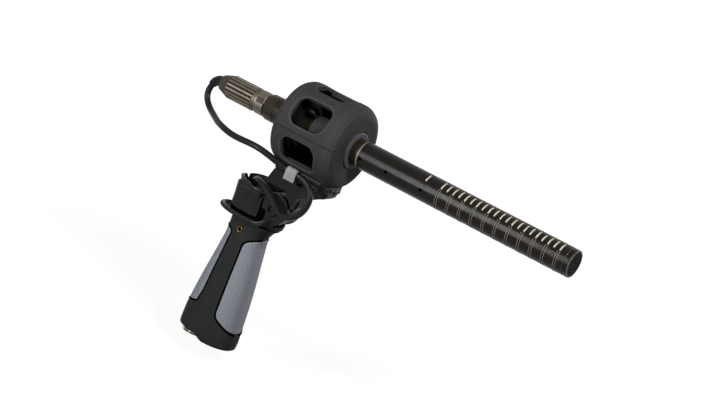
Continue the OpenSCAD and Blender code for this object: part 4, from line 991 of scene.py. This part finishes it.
def pad_groove_shade(outline, side):
    """A black bead in the groove round one pad, on one side of the handle: painted shade in the groove."""
    spacing, least_width, sink, seam_r = 0.6, 1.0, 0.22, 0.65
    line = np.vstack([outline, outline[:1]])
    dense = []
    for a, b in zip(line, line[1:]):
        dense += list(np.linspace(a, b, max(2, int(np.linalg.norm(b - a) / spacing)), endpoint=False))
    runs, run = [], []
    for x, z in dense * 2:
        width = grip_half_width(x, z)
        if width is None or width < least_width:
            runs.append(run)
            run = []
        else:
            run.append((x, side * (width - sink), z))
    return sweep(max(runs, key=len), circle(seam_r, 6))


# painted shade: a black bead in each pad's groove, painted later
for name, outline in (("front_pad", FRONT_ZONE), ("rear_pad", REAR_ZONE)):
    add_piece(name + "_groove_shade", joined([pad_groove_shade(outline, -1), pad_groove_shade(outline, 1)]), "handle", "insulator")


def screw_bezel():
    """The brass edge round the cross screw, whose head is painted black as the shade of its recess."""
    inset, proud, thickness = 0.45, 0.05, 0.34
    low, high = box_mm("cross_screw")
    middle, radius = (low + high) / 2, (high[0] - low[0]) / 2 - inset
    path = [(x, low[1] - proud, z) for x, z in full_turn((middle[0], middle[2]), radius, 33)]
    return sweep(path, circle(thickness, 8), closed_ends=False)


def output_rim(inset, rise, thickness):
    """A pale metal ring on the lower end of the output connector: a painted glint."""
    low, high = box_mm("output_shell")
    middle, radius = (low + high) / 2, (high[1] - low[1]) / 2 - inset
    path = [(x, y, low[2] + rise) for x, y in full_turn(middle, radius, 49)]
    return sweep(path, circle(thickness, 8), closed_ends=False)


add_piece("cross_screw_bezel", screw_bezel(), "handle", "brass")
output_rims = [
    output_rim(inset=0.25, rise=0.45, thickness=0.4), output_rim(inset=0.1, rise=2.0, thickness=0.22)]
add_piece("output_rims", joined(output_rims), "handle", "nickel")

POLE_R, POLE_LEN, POLE_PITCH = 9.525 / 2, 14.0, 25.4 / 16


def pole_thread():
    """The socket's thread: a ridge that winds up inside the bore."""
    depth, half_base, half_crest, root, steps, first_turn = 0.72, 0.62, 0.12, 0.02, 40, 0.8
    ridge = (
        (POLE_R - root, -half_base), (POLE_R - depth, -half_crest), (POLE_R - depth, half_crest),
        (POLE_R - root, half_base))
    turns = (POLE_LEN - 2 * POLE_PITCH) / POLE_PITCH
    winds = np.linspace(0, turns, int(turns * steps))
    points = []
    for t in winds:
        a, z = 2 * math.pi * t, POLE_PITCH * (t + first_turn)
        points += [(r * math.cos(a), r * math.sin(a), z + dz) for r, dz in ridge]
    return points, tube_faces(len(winds), len(ridge))


add_piece("pole_thread", pole_thread(), "handle", NODE_SLOT["pole_socket"], smooth=False)


# Finishes of pieces that look unlike the rest of their slot, then what is left of the CAD model, and the lead

FINISHES = {
    # painted shade in the barrel's flutes
    "plug_barrel_turned": FLUTED,
    # painted light on the rear tube
    "rear_tube_turned": REAR_TUBE_PAINTED_LIGHT,
    "output_shell_turned": MATERIALS["dark_nickel"],
    # painted glints on the output connector
    "output_rims": PAINTED_GLINT_NICKEL,
    "front_sleeve": MATERIALS["cage_rubber"],
    "dish_lip": GLOSSY_PLASTIC, "guard_lip": GLOSSY_PLASTIC,
    # painted shade inside the cage
    "rear_bellows": CAGE_PAINTED_SHADE, "front_bellows": CAGE_PAINTED_SHADE,
    # painted shade: the screws and their rims are black for the shade in their recesses
    "cross_screw_turned": PAINTED_SHADE_BLACK, "tube_screws_turned": PAINTED_SHADE_BLACK, "screw_rims": PAINTED_SHADE_BLACK,
    # painted shade: the core's band and notch, and the beads in the pads' grooves
    "core_painted_shade": PAINTED_SHADE_BLACK, "front_pad_groove_shade": PAINTED_SHADE_BLACK, "rear_pad_groove_shade": PAINTED_SHADE_BLACK,
}
for name, material in FINISHES.items():
    bpy.data.objects[name].data.materials[0] = material
for node, obj in frame["nodes"].items():
    if not obj.hide_render:
        paint(obj, NODE_SLOT[node])
for obj in LEADS:
    paint(obj, "lead_jacket")


# Stage and light, in metres

MIDDLE = Vector((0.05, 0.0, 0.14))
FLOOR_Z, FLOOR_HALF = -15, 3000    # millimetres; low enough for the microphone's nose when it is tilted down
FLOOR_GREY = 0.16


def white_for_camera(tree):
    """1 for camera, glossy and transmission rays, which see the plain white set."""
    path = tree.nodes.new("ShaderNodeLightPath")
    total = path.outputs["Is Camera Ray"]
    for name in ("Is Glossy Ray", "Is Transmission Ray"):
        add = tree.nodes.new("ShaderNodeMath")
        add.operation = "MAXIMUM"
        tree.links.new(total, add.inputs[0])
        tree.links.new(path.outputs[name], add.inputs[1])
        total = add.outputs[0]
    return total


def add_world(ambient):
    """A white set for the camera and reflections, and a faint even light for the rest."""
    world = bpy.data.worlds.new("studio")
    SCENE.world = world
    world.use_nodes = True
    tree = world.node_tree
    tree.nodes.clear()
    out = tree.nodes.new("ShaderNodeOutputWorld")
    mix = tree.nodes.new("ShaderNodeMixShader")
    for i, strength in ((1, ambient), (2, 1.0)):
        back = tree.nodes.new("ShaderNodeBackground")
        back.inputs["Color"].default_value = (1, 1, 1, 1)
        back.inputs["Strength"].default_value = strength
        tree.links.new(back.outputs[0], mix.inputs[i])
    tree.links.new(white_for_camera(tree), mix.inputs[0])
    tree.links.new(mix.outputs[0], out.inputs["Surface"])


def add_floor(glow, near, far):
    """A pale floor that takes the shadow round the object and runs out into the plain white set."""
    corners = [(FLOOR_HALF * x, FLOOR_HALF * y, FLOOR_Z) for x, y in ((-1, -1), (1, -1), (1, 1), (-1, 1))]
    floor = new_object("floor", corners, [(0, 1, 2, 3)])
    material = bpy.data.materials.new("pale_floor")
    material.use_nodes = True
    tree = material.node_tree
    tree.nodes.clear()
    out = tree.nodes.new("ShaderNodeOutputMaterial")
    add = tree.nodes.new("ShaderNodeAddShader")
    matt = tree.nodes.new("ShaderNodeBsdfDiffuse")
    matt.inputs["Color"].default_value = (FLOOR_GREY, FLOOR_GREY, FLOOR_GREY, 1)
    light = tree.nodes.new("ShaderNodeEmission")
    place = tree.nodes.new("ShaderNodeTexCoord")
    reach = tree.nodes.new("ShaderNodeVectorMath")
    reach.operation = "LENGTH"
    tree.links.new(place.outputs["Object"], reach.inputs[0])
    level = tree.nodes.new("ShaderNodeMapRange")
    level.interpolation_type = "SMOOTHSTEP"
    for key, value in (("From Min", near), ("From Max", far), ("To Min", glow), ("To Max", 1.0)):
        level.inputs[key].default_value = value
    tree.links.new(reach.outputs["Value"], level.inputs["Value"])
    strength = tree.nodes.new("ShaderNodeMath")
    strength.operation = "MULTIPLY"
    tree.links.new(white_for_camera(tree), strength.inputs[0])
    tree.links.new(level.outputs["Result"], strength.inputs[1])
    tree.links.new(strength.outputs[0], light.inputs["Strength"])
    tree.links.new(matt.outputs[0], add.inputs[0])
    tree.links.new(light.outputs[0], add.inputs[1])
    tree.links.new(add.outputs[0], out.inputs["Surface"])
    floor.data.materials.append(material)


def lit_from(name, direction, size, level, distance=1.4):
    """A softbox that lights a white surface facing it to the given level."""
    data = bpy.data.lights.new(name, "AREA")
    data.shape, data.size, data.size_y = "RECTANGLE", size[0], size[1]
    data.energy = level * math.pi ** 2 * distance ** 2
    lamp = bpy.data.objects.new(name, data)
    SCENE.collection.objects.link(lamp)
    lamp.location = MIDDLE + distance * Vector(direction).normalized()
    lamp.rotation_euler = (MIDDLE - lamp.location).to_track_quat("-Z", "Y").to_euler()


add_world(ambient=0.02)
add_floor(glow=0.9, near=0.15, far=0.9)
lit_from("front_light", (0.7, -0.5, 0.8), size=(0.3, 0.3), level=0.66)
lit_from("side_light", (-0.34, -0.91, 0.16), size=(0.18, 1.0), level=0.8)
lit_from("far_light", (0.2, 0.95, 0.25), size=(1.0, 1.0), level=0.65)
